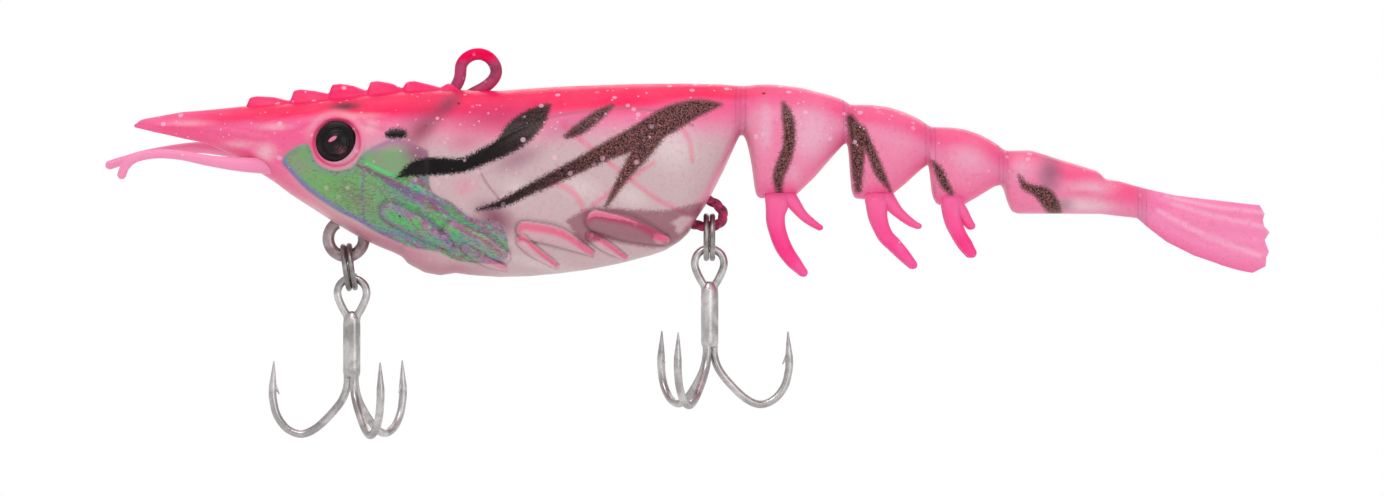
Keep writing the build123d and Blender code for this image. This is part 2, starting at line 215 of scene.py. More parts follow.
# ---- what is painted and moulded on the sides ----
# a brush stroke is a row of X, Z and half width; an outline is a row of X, Z
STRIPES = [
    [(-6.97, -9.36, .08), (-5.56, -8.65, .6), (-4.06, -8.38, .8), (-1.32, -8.3, .65),
     (.62, -7.5, .7), (2.38, -6.62, .85), (3.71, -5.38, 1.2), (5.03, -4.24, 1.0), (6.35, -3.0, .2)],
    [(7.86, -5.74, .2), (9.0, -5.12, .5), (10.77, -3.8, .45), (11.92, -3.0, .15)],
    [(.09, -12.18, .08), (2.38, -11.56, .36), (4.77, -10.36, .48), (7.77, -8.9, .62),
     (11.12, -7.2, .78), (14.3, -5.74, 1.1), (16.77, -4.32, 1.2), (18.71, -3.44, .9),
     (20.04, -3.09, .6), (21.45, -2.91, .1)],
    [(15.62, -5.38, 1.0), (14.3, -7.33, .8), (12.97, -9.18, .5), (11.39, -11.83, .15)],
    [(26.92, -2.82, .15), (27.27, -3.88, .5), (27.45, -5.38, .55), (27.36, -6.71, .55),
     (26.92, -8.03, .6), (26.48, -9.27, .5), (26.57, -10.59, .3), (26.57, -11.12, .15)],
    [(32.83, -4.15, .4), (33.36, -5.56, .7), (33.45, -7.24, .65), (33.45, -8.91, .5),
     (33.54, -10.41, .3)],
    [(33.72, -5.21, .5), (34.69, -7.24, .45), (35.39, -8.91, .45), (36.36, -10.5, .12)],
    [(40.07, -7.94, .15), (40.69, -8.91, .4), (41.13, -9.89, .4), (41.66, -10.68, .25)],
    [(47.66, -9.18, .1), (48.19, -10.06, .35), (48.98, -10.41, .45), (49.87, -10.86, .7),
     (50.57, -11.74, .7), (51.1, -12.36, .4)],
    [(-7.72, -5.55, .3), (-7.35, -5.5, .42), (-6.75, -5.48, .42), (-6.4, -5.5, .3)],
]
FOIL = [
    (-17.17, -8.12), (-16.91, -7.33), (-15.39, -6.39), (-14.6, -6.6), (-14.0, -8.1),
    (-12.4, -8.75), (-10.9, -8.4), (-10.0, -7.2), (-7.94, -6.09), (-6.53, -5.97), (-4.41, -6.92),
    (-4.15, -7.5), (-3.97, -10.41), (-2.16, -11.52), (-.55, -12.83), (2.09, -13.42),
    (2.8, -15.27), (2.21, -16.86), (-1.59, -16.68), (-3.38, -15.87), (-5.83, -15.45),
    (-8.65, -14.25), (-10.41, -13.24), (-12.53, -12.14), (-15.06, -10.36),
]
DARK_PATCH = [
    (7.77, -13.15), (9.4, -12.2), (11.12, -12.0), (14.3, -12.18), (16.77, -12.18),
    (19.86, -11.47), (20.3, -12.0), (17.92, -14.92), (15.71, -15.53), (13.06, -15.18),
    (10.77, -14.83), (9.44, -15.27),
]
PATCH_WINDOW = [
    (17.1, -13.3), (17.9, -12.85), (18.6, -12.75), (19.2, -12.9), (18.5, -13.6), (17.8, -14.3),
    (17.5, -14.0), (17.6, -13.6),
]
FOLDED_LEGS = [
    [(-7.59, -12.36, .9), (-5.0, -13.7, .9), (-2.47, -15.27, .4)],
    [(-2.03, -14.12, .95), (0.3, -15.1, .9), (2.38, -16.24, .55)],
    [(-1.06, -15.53, .35), (0.6, -16.6, .45), (2.38, -17.3, .25)],
    [(4.3, -13.95, .8), (6.88, -14.47, .85), (8.6, -15.2, .6), (10.1, -16.0, .25)],
    [(4.0, -14.9, .55), (5.0, -15.8, .5), (6.95, -17.1, .25)],
    [(10.5, -13.1, .95), (13.42, -13.85, 1.05), (16.5, -14.8, .45)],
    [(9.95, -14.5, .4), (11.2, -15.3, .5), (13.0, -16.4, .25)],
]
VEINS = [
    [(7.5, -4.6, .3), (9.6, -6.4, .35), (12.5, -8.7, .3), (15.5, -11.0, .3), (18.6, -12.6, .25)],
    [(2.4, -11.4, .3), (6.2, -9.9, .35), (8.4, -10.6, .4), (9.6, -12.4, .3)],
    [(10.2, -11.8, .3), (12.6, -10.0, .35), (15.6, -8.0, .2)],
    [(17.2, -3.8, .2), (18.6, -6.0, .3), (18.9, -8.0, .2)],
]
CORE_EDGE = [
    (1.9, -11.1, .1), (.88, -9.8, .1), (.18, -8.21, .1), (.97, -6.88, .1), (3.27, -5.3, .1),
    (6.62, -4.06, .1), (9.8, -3.5, .1), (13.42, -3.27, .1), (16.77, -3.71, .1), (18.98, -4.77, .1),
]
FOIL_BAND = [
    (-10.4, -8.3, .2), (-7.6, -9.75, .42), (-4.5, -11.35, .55), (-1.5, -12.6, .5), (.8, -13.3, .3),
]
FOIL_SEAM = [(-9.85, -8.5, .12), (-10.05, -10.6, .12), (-9.9, -13.4, .12)]
EMERALD_STREAKS = [
    [(-9.8, -8.0, .12), (-7.5, -9.1, .2), (-5.4, -10.3, .22), (-3.9, -11.0, .12)],
    [(-4.6, -12.15, .12), (-2.2, -13.0, .2), (.5, -13.8, .12)],
    [(-5.7, -10.0, .15), (-4.8, -10.4, .28), (-4.0, -10.6, .12)],
]
STRIPES = [flowing(line) for line in STRIPES]
FOLDED_LEGS = [flowing(line) for line in FOLDED_LEGS]
FOIL_BAND = flowing(FOIL_BAND)
VEINS = [flowing(line) for line in VEINS]
CORE_EDGE = flowing(CORE_EDGE)
FOIL = flowing(FOIL + FOIL[:1], 4)[:-1]
DARK_PATCH = flowing(DARK_PATCH + DARK_PATCH[:1], 4)[:-1]
BROW = [(-16.4, -4.9, .5), (-13.6, -3.9, .6), (-10.4, -4.2, .5), (-8.2, -4.9, .3)]
FACE_RIDGES = [
    [(-28.5, -4.7, .35), (-23.5, -5.0, .5), (-18.5, -5.9, .4)],
    [(-23.5, -6.0, .4), (-19.5, -7.2, .5), (-17.0, -8.8, .3)],
    [(-19.5, -4.2, .35), (-15.0, -3.6, .35)],
]
# middle, half sizes and turn of the domed cheek
CHEEK = ((-6.9, -7.75), (3.1, 1.9), -8.0)
MAIN_LEGS = (0, 1, 3, 5)
LEG_TIP = (15.9, -14.65)


def relief(x, z):
    """How far the side stands out, in millimetres, for the legs and ridges moulded on it."""
    height = np.zeros(np.shape(x))
    for number, leg in enumerate(FOLDED_LEGS):
        inside = stroke(x, z, leg)
        tall = 0.5 if number in MAIN_LEGS else 0.3
        dome = np.sqrt(np.clip(1.0 - (1.0 - np.clip(inside, 0.0, 1.0)) ** 2, 0.0, 1.0))
        height = height + tall * dome - 0.16 * hump(inside, -0.16, 0.14)
    height = height + 0.35 * np.sqrt(blob(x, z, *CHEEK))
    for line in (FOIL_BAND, FOIL_SEAM):
        height = height - 0.12 * smoothstep(0.0, 1.0, stroke(x, z, line))
    for vein in VEINS:
        height = height + 0.05 * smoothstep(0.0, 0.8, stroke(x, z, vein))
    height = height + 0.05 * smoothstep(-0.5, 0.7, stroke(x, z, CORE_EDGE))
    height = height - 0.1 * hump(depth_in(x, z, FOIL), 0.0, 0.22)
    height = height + 0.38 * hump(from_eye(x, z), 2.24, 0.3)
    height = height + 0.22 * smoothstep(0.0, 1.0, stroke(x, z, BROW))
    for ridge in FACE_RIDGES:
        height = height + 0.14 * smoothstep(0.0, 1.0, stroke(x, z, ridge))
    return height


def srgb(r, g, b):
    """A colour as seen on screen, 0 to 255, as the linear values that shaders take."""
    values = np.array([r, g, b], float) / 255.0
    return np.where(values <= 0.04045, values / 12.92, ((values + 0.055) / 1.055) ** 2.4)


HOT = srgb(255, 8, 90)
ROSE = srgb(248, 80, 140)
HEAD_PINK = srgb(250, 104, 156)
BLUSH = srgb(238, 142, 178)
CLEAR = srgb(209, 182, 186)
LEG_PINK = srgb(255, 50, 138)
TAIL_PINK = srgb(250, 124, 172)
TAIL_CLEAR = srgb(238, 184, 206)
DUSKY_SHADOW = srgb(158, 98, 122)
FOIL_GREEN = srgb(108, 178, 102)
FOIL_VIOLET = srgb(124, 116, 190)
FOIL_MAUVE = srgb(168, 112, 152)


class Coats:
    """Coats of colour laid one over another at places of the side view."""

    def __init__(self, x, z, base):
        self.x, self.z = x, z
        self.colour = np.broadcast_to(base, np.shape(x) + (3,)).copy()

    def lay(self, over, amount):
        """A coat over everything, as strong as the amount at each place."""
        amount = np.clip(amount, 0.0, 1.0)[..., None]
        self.colour = self.colour * (1.0 - amount) + over * amount

    def blot(self, over, amount, place, size, turn=0.0):
        """A soft oval coat."""
        self.lay(over, amount * blob(self.x, self.z, place, size, turn))


def crescent(x, z, leg, lift):
    """1 along the upper side of a moulded leg, where its painted highlight goes, 0 elsewhere."""
    inside = smoothstep(0.0, 0.35, stroke(x, z, leg))
    return inside * (1.0 - smoothstep(-0.1, 0.5, stroke(x, z + lift, leg)))


def sprayed_pink(coats):
    """The pink sprayed on the clear plastic: hot on the back, thin on the belly."""
    x, z = coats.x, coats.z
    down = back(x) - z
    tail = smoothstep(22.5, 25.0, x)
    head = 1.0 - smoothstep(-15.0, -7.0, x)
    coats.lay(TAIL_PINK, 0.85 * tail)
    reach = 5.2 + 3.0 * head - 2.0 * tail
    coats.lay(BLUSH, 1.0 - smoothstep(reach * 0.5, reach * 1.2, down))
    coats.lay(ROSE, 0.85 * (1.0 - smoothstep(reach * 0.3, reach * 0.85, down)))
    depth = 2.9 - 1.5 * tail - 1.1 * head - 1.2 * smoothstep(12.0, 20.0, x) * (1.0 - tail)
    hot = 1.0 - smoothstep(0.55 * depth, depth, down)
    hot_amount = hot * (1.0 - 0.78 * smoothstep(20.0, 29.0, x)) * smoothstep(-29.0, -18.0, x)
    coats.lay(HEAD_PINK, 0.85 * hot * tail)
    coats.lay(HEAD_PINK, 0.9 * (1.0 - smoothstep(-20.0, -11.0, x)))
    coats.lay(HOT, hot_amount)
    rear_rim = smoothstep(2.2, 0.4, z - belly(x)) * smoothstep(17.0, 20.5, x) * (1.0 - tail)
    coats.lay(srgb(240, 116, 164), 0.6 * rear_rim)


def tail_tints(coats):
    """Pale middles and saturated rims of the tail segments."""
    x, z = coats.x, coats.z
    tail = smoothstep(22.5, 25.0, x)
    for place, size, amount in (
        ((29.4, -5.6), (3.2, 4.0), 0.8), ((25.3, -5.2), (1.1, 3.2), 0.8),
        ((27.9, -9.2), (1.2, 1.6), 0.5), ((33.2, -5.4), (1.0, 1.6), 0.4),
        ((36.6, -6.4), (2.2, 2.2), 0.15), ((43.2, -7.6), (2.6, 2.2), 0.45),
        ((47.9, -8.4), (1.6, 1.8), 0.6), ((49.4, -8.3), (1.6, 1.2), 0.4),
        ((54.2, -10.2), (3.4, 1.2), 0.7),
    ):
        coats.blot(TAIL_CLEAR, amount, place, size)
    rim = tail * hump(z - belly(x), 0.0, 1.1) * (1.0 - smoothstep(45.5, 47.0, x))
    coats.lay(srgb(252, 92, 154), 0.5 * rim)
    coats.blot(srgb(238, 206, 216), 0.85, (53.2, -11.8), (4.6, 1.0), -3)
    coats.blot(srgb(240, 100, 140), 0.55, (53.4, -10.7), (2.4, .5), -4)
    coats.blot(srgb(138, 98, 120), 0.75, (50.4, -9.0), (1.7, 3.2), -6)
    for place in ((26.6, -11.2), (35.5, -11.3), (42.0, -11.8)):
        coats.blot(srgb(252, 96, 160), 0.9, place, (2.3, 2.2))
    coats.blot(srgb(120, 90, 100), 0.5, (51.6, -11.7), (1.6, 1.0))
    fan = smoothstep(57.5, 60.5, x)
    coats.lay(srgb(250, 142, 188), 0.9 * fan)
    for rib in ([(60.2, -11.3, .25), (64.5, -12.6, .3), (69.2, -13.6, .25)],
                [(60.0, -12.2, .25), (64.0, -14.4, .35), (69.0, -16.2, .3)],
                [(60.6, -11.0, .2), (65.0, -11.9, .25), (69.4, -12.4, .2)]):
        coats.lay(srgb(252, 186, 212), 0.55 * fan * smoothstep(-.4, .9, stroke(x, z, rib)))
    coats.lay(srgb(248, 96, 160), 0.6 * fan * hump(z - belly(x), 0.0, 0.7))
    coats.blot(srgb(246, 100, 164), 0.5, (60.4, -11.6), (1.6, .9))


def head_tints(coats):
    """Pale face, red chin rim, smudge over the eye, the painted shadows of the buried metal, a painted
    dusky shadow inside the core and painted highlights on the clear belly.
    """
    x, z = coats.x, coats.z
    for place, size, amount, turn in (
        ((-18.6, -7.1), (1.6, 1.3), 0.8, 0), ((-21.0, -6.4), (2.4, .6), 0.55, 0),
        ((-25.4, -4.5), (3.4, .45), 0.5, 0), ((-17.8, -4.9), (2.6, .5), 0.5, 0),
        ((-9.3, -4.9), (1.2, 1.2), 0.55, 0), ((-10.0, -3.9), (3.0, .45), 0.4, 0),
        ((-14.0, -12.2), (2.4, .5), 0.6, -38),
    ):
        coats.blot(srgb(244, 196, 208), amount, place, size, turn)
    low_rim = hump(z - belly(x), 0.75, 0.5) * (1.0 - smoothstep(-11.5, -7.5, x))
    coats.lay(srgb(238, 104, 132), 0.35 * low_rim * smoothstep(-21.5, -18.5, x))
    coats.blot(srgb(206, 138, 156), 0.85, (-6.6, -15.6), (7.0, 1.5), -22)
    under = smoothstep(1.5, 0.2, z - belly(x)) * smoothstep(-14.0, -10.0, x) * smoothstep(3.0, -2.0, x)
    coats.lay(srgb(186, 118, 136), 0.75 * under)
    coats.blot(srgb(80, 28, 46), 0.95, (-11.6, -3.05), (2.2, .6), 2)
    coats.blot(srgb(236, 200, 210), 0.15, (-1.2, -6.3), (2.0, 1.2), 20)
    for place, size, amount in (((-2.6, -3.0), (2.4, 1.2), 0.9), ((-4.6, -5.0), (2.6, 1.3), 0.8),
                                ((-5.0, -4.9), (5.0, 2.6), 0.45)):
        coats.blot(srgb(146, 48, 80), amount, place, size, 44)
    coats.blot(srgb(212, 56, 108), 0.85, (1.8, -4.2), (7.0, 2.6), 4)
    coats.blot(srgb(212, 106, 142), 0.6, (-1.0, -6.3), (2.6, 1.4), 10)
    # painted highlights: pale glints on the clear belly
    for place, size, amount in (((17.2, -6.6), (3.2, 3.2), 0.55), ((9.0, -10.2), (3.0, 1.6), 0.5),
                                ((13.6, -11.0), (2.6, 1.6), 0.45), ((3.6, -10.4), (1.8, 1.4), 0.45),
                                ((5.4, -16.9), (5.0, .8), 0.45)):
        coats.blot(srgb(238, 222, 224), amount, place, size, -12)
    coats.blot(srgb(140, 80, 102), 0.95, (1.7, -12.9), (3.2, 1.9), -30)
    # painted shadow, dusky pink-brown, inside the clear core below the first stripe
    coats.blot(DUSKY_SHADOW, 0.6, (3.6, -7.7), (3.6, 1.5), 22)
    coats.blot(srgb(196, 96, 136), 0.55, (8.2, -4.9), (4.4, 1.4), 16)
    coats.blot(srgb(226, 150, 172), 0.6, (-1.0, -10.2), (1.8, 1.5))


def moulding_tints(coats):
    """Colour gathered along the veins and the core's edge, colour on the folded legs and round the eye
    socket, painted shade in the groove round each folded leg and a painted highlight along its upper
    side.
    """
    x, z = coats.x, coats.z
    for vein in VEINS:
        coats.lay(srgb(240, 84, 130), 0.42 * smoothstep(-0.3, 0.9, stroke(x, z, vein)))
    coats.lay(srgb(160, 108, 128), 0.6 * smoothstep(-0.7, 0.6, stroke(x, z, CORE_EDGE)))
    # rims: painted shade in the groove round each leg; pink: painted highlight along each leg's upper
    # side
    rims = (0.25, 0.25, 0.35, 0.5, 0.35, 0.35, 0.45)
    pale = (0.0, 0.0, 0.25, 0.5, 0.5, 0.0, 0.5)
    pink = (0.0, 0.0, 0.45, 0.75, 0.75, 0.8, 0.8)
    for number, leg in enumerate(FOLDED_LEGS):
        inside = stroke(x, z, leg)
        whole = smoothstep(0.0, 0.3, inside)
        lift = 0.67 if number in (3, 5) else 0.47
        coats.lay(srgb(222, 174, 186), pale[number] * whole)
        # painted highlight along the upper side of the leg
        coats.lay(srgb(236, 78, 128), pink[number] * crescent(x, z, leg, lift))
        # painted shade in the groove round the leg
        coats.lay(srgb(112, 56, 76), rims[number] * hump(inside, -0.06, 0.1))
    coats.blot(srgb(238, 84, 132), 0.8, LEG_TIP, (1.0, .6), -15)
    ring = from_eye(x, z)
    coats.lay(srgb(226, 52, 106), 0.9 * hump(ring, 2.08, 0.13))
    coats.lay(srgb(246, 186, 204), 0.4 * hump(ring, 2.6, 0.32) * smoothstep(-7.0, -5.0, z))


def foil_colour(x, z, depth):
    """The iridescent film: green in front, breaking into violet and pink behind."""
    coats = Coats(x, z, FOIL_GREEN)
    coats.lay(srgb(142, 128, 138), 0.55 * smoothstep(-6.0, 1.0, x))
    coats.blot(srgb(150, 138, 150), 0.5, (-15.6, -8.2), (1.8, 1.2), -30)
    coats.blot(srgb(118, 130, 104), 0.6, (-10.6, -11.2), (3.0, 1.3), -32)
    coats.blot(srgb(140, 92, 118), 0.85, (-4.4, -9.6), (2.6, 2.2))
    dome = oval_radius(x, z, *CHEEK)
    coats.lay(srgb(124, 164, 120), 0.9 * smoothstep(1.0, 0.6, dome))
    over_dome = smoothstep(-8.2, -6.8, z + 0.25 * (x + 7.0))
    coats.lay(srgb(184, 116, 152), 0.85 * hump(dome, 0.8, 0.28) * over_dome)
    coats.blot(srgb(138, 84, 110), 0.9, (-5.0, -7.2), (2.2, 1.8))
    coats.blot(FOIL_VIOLET, 0.8, (-6.4, -14.7), (3.4, .9), -27)
    coats.lay(srgb(130, 78, 108), 0.95 * smoothstep(-0.1, 0.6, stroke(x, z, FOIL_BAND)))
    for streak in EMERALD_STREAKS:
        coats.lay(srgb(40, 222, 118), 0.85 * smoothstep(-0.1, 0.8, stroke(x, z, streak)))
    for leg, sheen in ((FOLDED_LEGS[0], FOIL_VIOLET), (FOLDED_LEGS[1], FOIL_MAUVE)):
        inside = stroke(x, z, leg)
        coats.lay(srgb(150, 122, 150), 0.8 * smoothstep(0.0, 0.3, inside))
        coats.lay(srgb(92, 196, 100), 0.9 * smoothstep(0.25, 0.7, stroke(x, z + 0.2, leg)))
        # painted pink highlight along the upper side of the moulded leg
        coats.lay(srgb(208, 116, 158), 0.85 * crescent(x, z, leg, 0.5))
        # painted sheen round the leg's edge and along its upper side, violet on the first leg and mauve
        # on the second
        upper = crescent(x, z + 0.12, leg, 0.3)
        coats.lay(sheen, 0.35 * hump(inside, 0.0, 0.16) + 0.6 * upper)
    coats.lay(srgb(112, 132, 150), 0.85 * smoothstep(-0.6, 0.6, stroke(x, z, FOIL_SEAM)))
    rear = smoothstep(-10.0, -5.0, x)[..., None]
    rim = FOIL_VIOLET * (1.0 - rear) + FOIL_MAUVE * rear
    lower_left = smoothstep(1.3, 0.3, (z + 8.2) + 0.7 * (x + 17.1))
    coats.lay(rim, (0.3 + 0.6 * lower_left) * hump(depth, 0.2, 0.26))
    return coats.colour


def skin_colour(x, z):
    """All that is sprayed on the side or shows through it."""
    coats = Coats(x, z, CLEAR)
    sprayed_pink(coats)
    tail_tints(coats)
    head_tints(coats)
    depth = depth_in(x, z, FOIL)
    strength = 0.95 - 0.45 * smoothstep(-1.5, 2.2, x)
    coats.lay(foil_colour(x, z, depth), smoothstep(-0.12, 0.14, depth) * strength)
    moulding_tints(coats)
    return coats.colour


def skin_masks(x, z):
    """Depth inside the black stripes, foil and dark patch: 0.5 on the edge, 1 unit to 2 mm."""
    stripe = np.max([stroke_depth(x, z, line) for line in STRIPES], axis=0)
    patch = depth_in(x, z, DARK_PATCH)
    patch = np.minimum(patch, -depth_in(x, z, PATCH_WINDOW))
    # the dark patch is kept off the leg's tip and off the painted highlight along its upper side
    tip = blob(x, z, LEG_TIP, (1.1, .7), -15) + crescent(x, z, FOLDED_LEGS[5], 0.45)
    patch = patch - 1.2 * np.clip(tip, 0.0, 1.0)
    film = depth_in(x, z, FOIL) - 3.0 * smoothstep(1.0, 0.85, oval_radius(x, z, *CHEEK))
    return [np.clip(0.5 + 0.5 * depth, 0.0, 1.0) for depth in (stripe, film, patch)]


# ---- mesh building ----
def mesh_from(name, grids, colours=None, masks=None):
    """Closed tubes of rings as one mesh. A grid is rings by places round by XYZ, in millimetres."""
    points, faces = [], []
    for grid in grids:
        rings, places, _ = grid.shape
        index = len(points) + np.arange(rings * places).reshape(rings, places)
        nexts = np.roll(index, -1, axis=1)
        quads = np.stack([index[:-1], nexts[:-1], nexts[1:], index[1:]], axis=-1).reshape(-1, 4)
        faces += quads.tolist() + [index[0][::-1].tolist(), index[-1].tolist()]
        points += (grid * MM).reshape(-1, 3).tolist()
    mesh = bpy.data.meshes.new(name)
    mesh.from_pydata(points, [], faces)
    outward = bmesh.new()
    outward.from_mesh(mesh)
    bmesh.ops.recalc_face_normals(outward, faces=outward.faces)
    outward.to_mesh(mesh)
    outward.free()
    mesh.polygons.foreach_set("use_smooth", [len(face) == 4 for face in faces])
    if colours is not None:
        layer = mesh.attributes.new("tint", "FLOAT_COLOR", "POINT")
        flat = np.ones((len(points), 4))
        flat[:, :3] = colours.reshape(-1, 3)
        layer.data.foreach_set("color", flat.ravel())
        layer = mesh.attributes.new("marks", "FLOAT_COLOR", "POINT")
        for channel, values in enumerate(masks):
            flat[:, channel] = values.ravel()
        layer.data.foreach_set("color", flat.ravel())
    thing = bpy.data.objects.new(name, mesh)
    bpy.context.scene.collection.objects.link(thing)
    return thing


def rounded(value, power):
    """A cosine or sine made squarer by a power under 1, with its sign kept."""
    return np.sign(value) * np.abs(value) ** power


def ring_places(count):
    """Places round a cross-section, evenly spaced along its edge."""
    squareness, tallness = 0.9, 1.5
    turn = np.linspace(0.0, 2.0 * np.pi, 6001)
    across = rounded(np.cos(turn), squareness)
    upward = rounded(np.sin(turn), squareness)
    along = running_total(np.hypot(np.diff(across), tallness * np.diff(upward)))
    wanted = np.linspace(0.0, along[-1], count, endpoint=False)
    return np.interp(wanted, along, across), np.interp(wanted, along, upward)


def ring_stations(first, last, spacing):
    """X values closer together where the outline is steep."""
    fine = np.linspace(first, last, 4000)
    travel = np.hypot(np.diff(fine), 0.35 * np.maximum(np.abs(np.diff(belly(fine))),
                                                       np.abs(np.diff(back(fine)))))
    along = running_total(travel)
    count = max(3, int(along[-1] / spacing))
    return np.interp(np.linspace(0.0, along[-1], count + 1), along, fine)


def skin_piece(name, first, last, places, spacing, shape=None):
    """A closed stretch of the soft body between two X values, in millimetres."""
    xs = ring_stations(first, last, spacing)
    across, upward = ring_places(places)
    top, bottom = back(xs)[:, None], belly(xs)[:, None]
    middle, tall = (top + bottom) / 2, (top - bottom) / 2
    z = middle + tall * upward[None, :]
    y = half_width(xs)[:, None] * across[None, :]
    x = np.broadcast_to(xs[:, None], z.shape).copy()
    fade_to_middle = np.minimum(1.0, np.abs(across) * 2.2)
    y = y + np.sign(across)[None, :] * relief(x, z) * fade_to_middle[None, :]
    if shape is not None:
        x, y, z = shape(x, y, z)
    grid = np.stack([x, y, z], axis=-1)
    return mesh_from(name, [grid], colours=skin_colour(x, z), masks=skin_masks(x, z))


def fan_shape(x, y, z):
    """Ribs, grooves and the scalloped end of the tail fan."""
    start = WEB_SPANS[4][1]
    share = np.clip((x - start) / (FAN_END - start), 0.0, 1.0)
    low, high = belly(x), back(x)
    rise = np.clip((z - low) / np.maximum(high - low, 0.01), 0.0, 1.0)
    lobes = np.interp(rise, [0, .1, .19, .24, .32, .41, .47, .6, .72, .77, .87, 1.0],
                      [-1.1, -.15, -.55, -.1, .05, -.45, -.3, .1, -.45, -.4, -.25, -.6])
    x = x + 1.25 * lobes * smoothstep(0.55, 1.0, share)
    ribs = np.cos(rise * 2 * np.pi * 4.5 + 0.6)
    y = y * (1.0 + 0.11 * ribs * smoothstep(0.05, 0.5, share) * (1.0 - 0.25 * share))
    return x, y, z


def sweep(line, wide, thick, flat_axis, places):
    """Oval rings along a line of points."""
    tangent = np.gradient(line, axis=0)
    tangent /= np.linalg.norm(tangent, axis=1)[:, None]
    side = np.cross(tangent, np.array(flat_axis))
    side /= np.linalg.norm(side, axis=1)[:, None]
    third = np.cross(side, tangent)
    turn = round_turn(places)
    return (line[:, None, :]
            + side[:, None, :] * (np.cos(turn)[None, :, None] * wide[:, None, None])
            + third[:, None, :] * (np.sin(turn)[None, :, None] * thick[:, None, None]))


def tube(points, widths, thickness, steps, places=28, flat_axis=(0.0, 1.0, 0.0), blunt=False):
    """A tapered limb along a curve through points, oval across, rounded at its tip."""
    fine = spline_points(points, 900)
    along = running_total(np.linalg.norm(np.diff(fine, axis=0), axis=1))
    share = np.linspace(0.0, 1.0, steps)
    if not blunt:
        share = 0.5 * share + 0.5 * np.sin(share * np.pi / 2) ** 0.9
    line = np.stack([np.interp(share * along[-1], along, fine[:, k]) for k in range(3)], axis=-1)
    wide = np.interp(share, np.linspace(0, 1, len(widths)), widths)
    thick = np.interp(share, np.linspace(0, 1, len(thickness)), thickness)
    left = np.clip((1.0 - share) * along[-1] / widths[-1], 0.0, 1.0)
    tip = np.ones(steps) if blunt else np.sqrt(np.clip(1.0 - (1.0 - left) ** 2, 0.02, 1.0))
    return sweep(line, wide * tip, thick * tip, flat_axis, places)


# ---- materials ----
class Shader:
    """A short way to write a node material."""

    def __init__(self, name):
        self.material = bpy.data.materials.new(name)
        self.material.use_nodes = True
        self.tree = self.material.node_tree
        self.surface = self.tree.nodes["Principled BSDF"]
        self.place = self.tree.nodes.new("ShaderNodeTexCoord").outputs["Object"]

    def put(self, socket, value):
        if hasattr(value, "links"):
            self.tree.links.new(value, socket)
        elif hasattr(value, "__len__") and len(value) == 3 and socket.type == "RGBA":
            socket.default_value = (*value, 1.0)
        else:
            socket.default_value = value

    def set(self, **values):
        for name, value in values.items():
            self.put(self.surface.inputs[name.replace("_", " ")], value)

    def noise(self, scale, detail=3.0, roughness=0.5, distortion=0.0, place=None):
        node = self.tree.nodes.new("ShaderNodeTexNoise")
        self.put(node.inputs["Vector"], place or self.place)
        node.inputs["Scale"].default_value = scale
        node.inputs["Detail"].default_value = detail
        node.inputs["Roughness"].default_value = roughness
        node.inputs["Distortion"].default_value = distortion
        return node.outputs["Fac"]

    def cells(self, scale):
        node = self.tree.nodes.new("ShaderNodeTexVoronoi")
        self.put(node.inputs["Vector"], self.place)
        node.inputs["Scale"].default_value = scale
        return node.outputs["Distance"]

    def attribute(self, name):
        node = self.tree.nodes.new("ShaderNodeAttribute")
        node.attribute_name = name
        return node.outputs["Color"]

    def channel(self, colour):
        node = self.tree.nodes.new("ShaderNodeSeparateColor")
        self.put(node.inputs[0], colour)
        return node.outputs

    def vector(self, x, y, z):
        node = self.tree.nodes.new("ShaderNodeCombineXYZ")
        for socket, value in zip(node.inputs, (x, y, z)):
            self.put(socket, value)
        return node.outputs[0]

    def axes(self):
        node = self.tree.nodes.new("ShaderNodeSeparateXYZ")
        self.put(node.inputs[0], self.place)
        return node.outputs

    def math(self, operation, a, b=0.0):
        node = self.tree.nodes.new("ShaderNodeMath")
        node.operation = operation
        for socket, value in zip(node.inputs, (a, b)):
            self.put(socket, value)
        return node.outputs[0]

    def times(self, a, b):
        return self.math("MULTIPLY", a, b)

    def plus(self, a, b):
        return self.math("ADD", a, b)

    def minus(self, a, b):
        return self.math("SUBTRACT", a, b)

    def length(self, a, b):
        return self.math("SQRT", self.plus(self.times(a, a), self.times(b, b)))

    def step(self, value, low, high, to_low=0.0, to_high=1.0):
        node = self.tree.nodes.new("ShaderNodeMapRange")
        node.interpolation_type = "SMOOTHSTEP"
        for socket, number in zip(node.inputs, (value, low, high, to_low, to_high)):
            self.put(socket, number)
        return node.outputs[0]

    def mix(self, amount, a, b):
        node = self.tree.nodes.new("ShaderNodeMix")
        node.data_type = "RGBA"
        self.put(node.inputs[0], amount)
        self.put(node.inputs[6], a)
        self.put(node.inputs[7], b)
        return node.outputs[2]

    def ramp(self, value, stops):
        node = self.tree.nodes.new("ShaderNodeValToRGB")
        self.put(node.inputs[0], value)
        while len(node.color_ramp.elements) < len(stops):
            node.color_ramp.elements.new(0.5)
        for element, (position, colour) in zip(node.color_ramp.elements, stops):
            element.position = position
            element.color = (*colour, 1.0)
        return node.outputs["Color"]

    def bump(self, height, distance, strength):
        node = self.tree.nodes.new("ShaderNodeBump")
        self.put(node.inputs["Height"], height)
        node.inputs["Distance"].default_value = distance
        node.inputs["Strength"].default_value = strength
        self.put(self.surface.inputs["Normal"], node.outputs["Normal"])


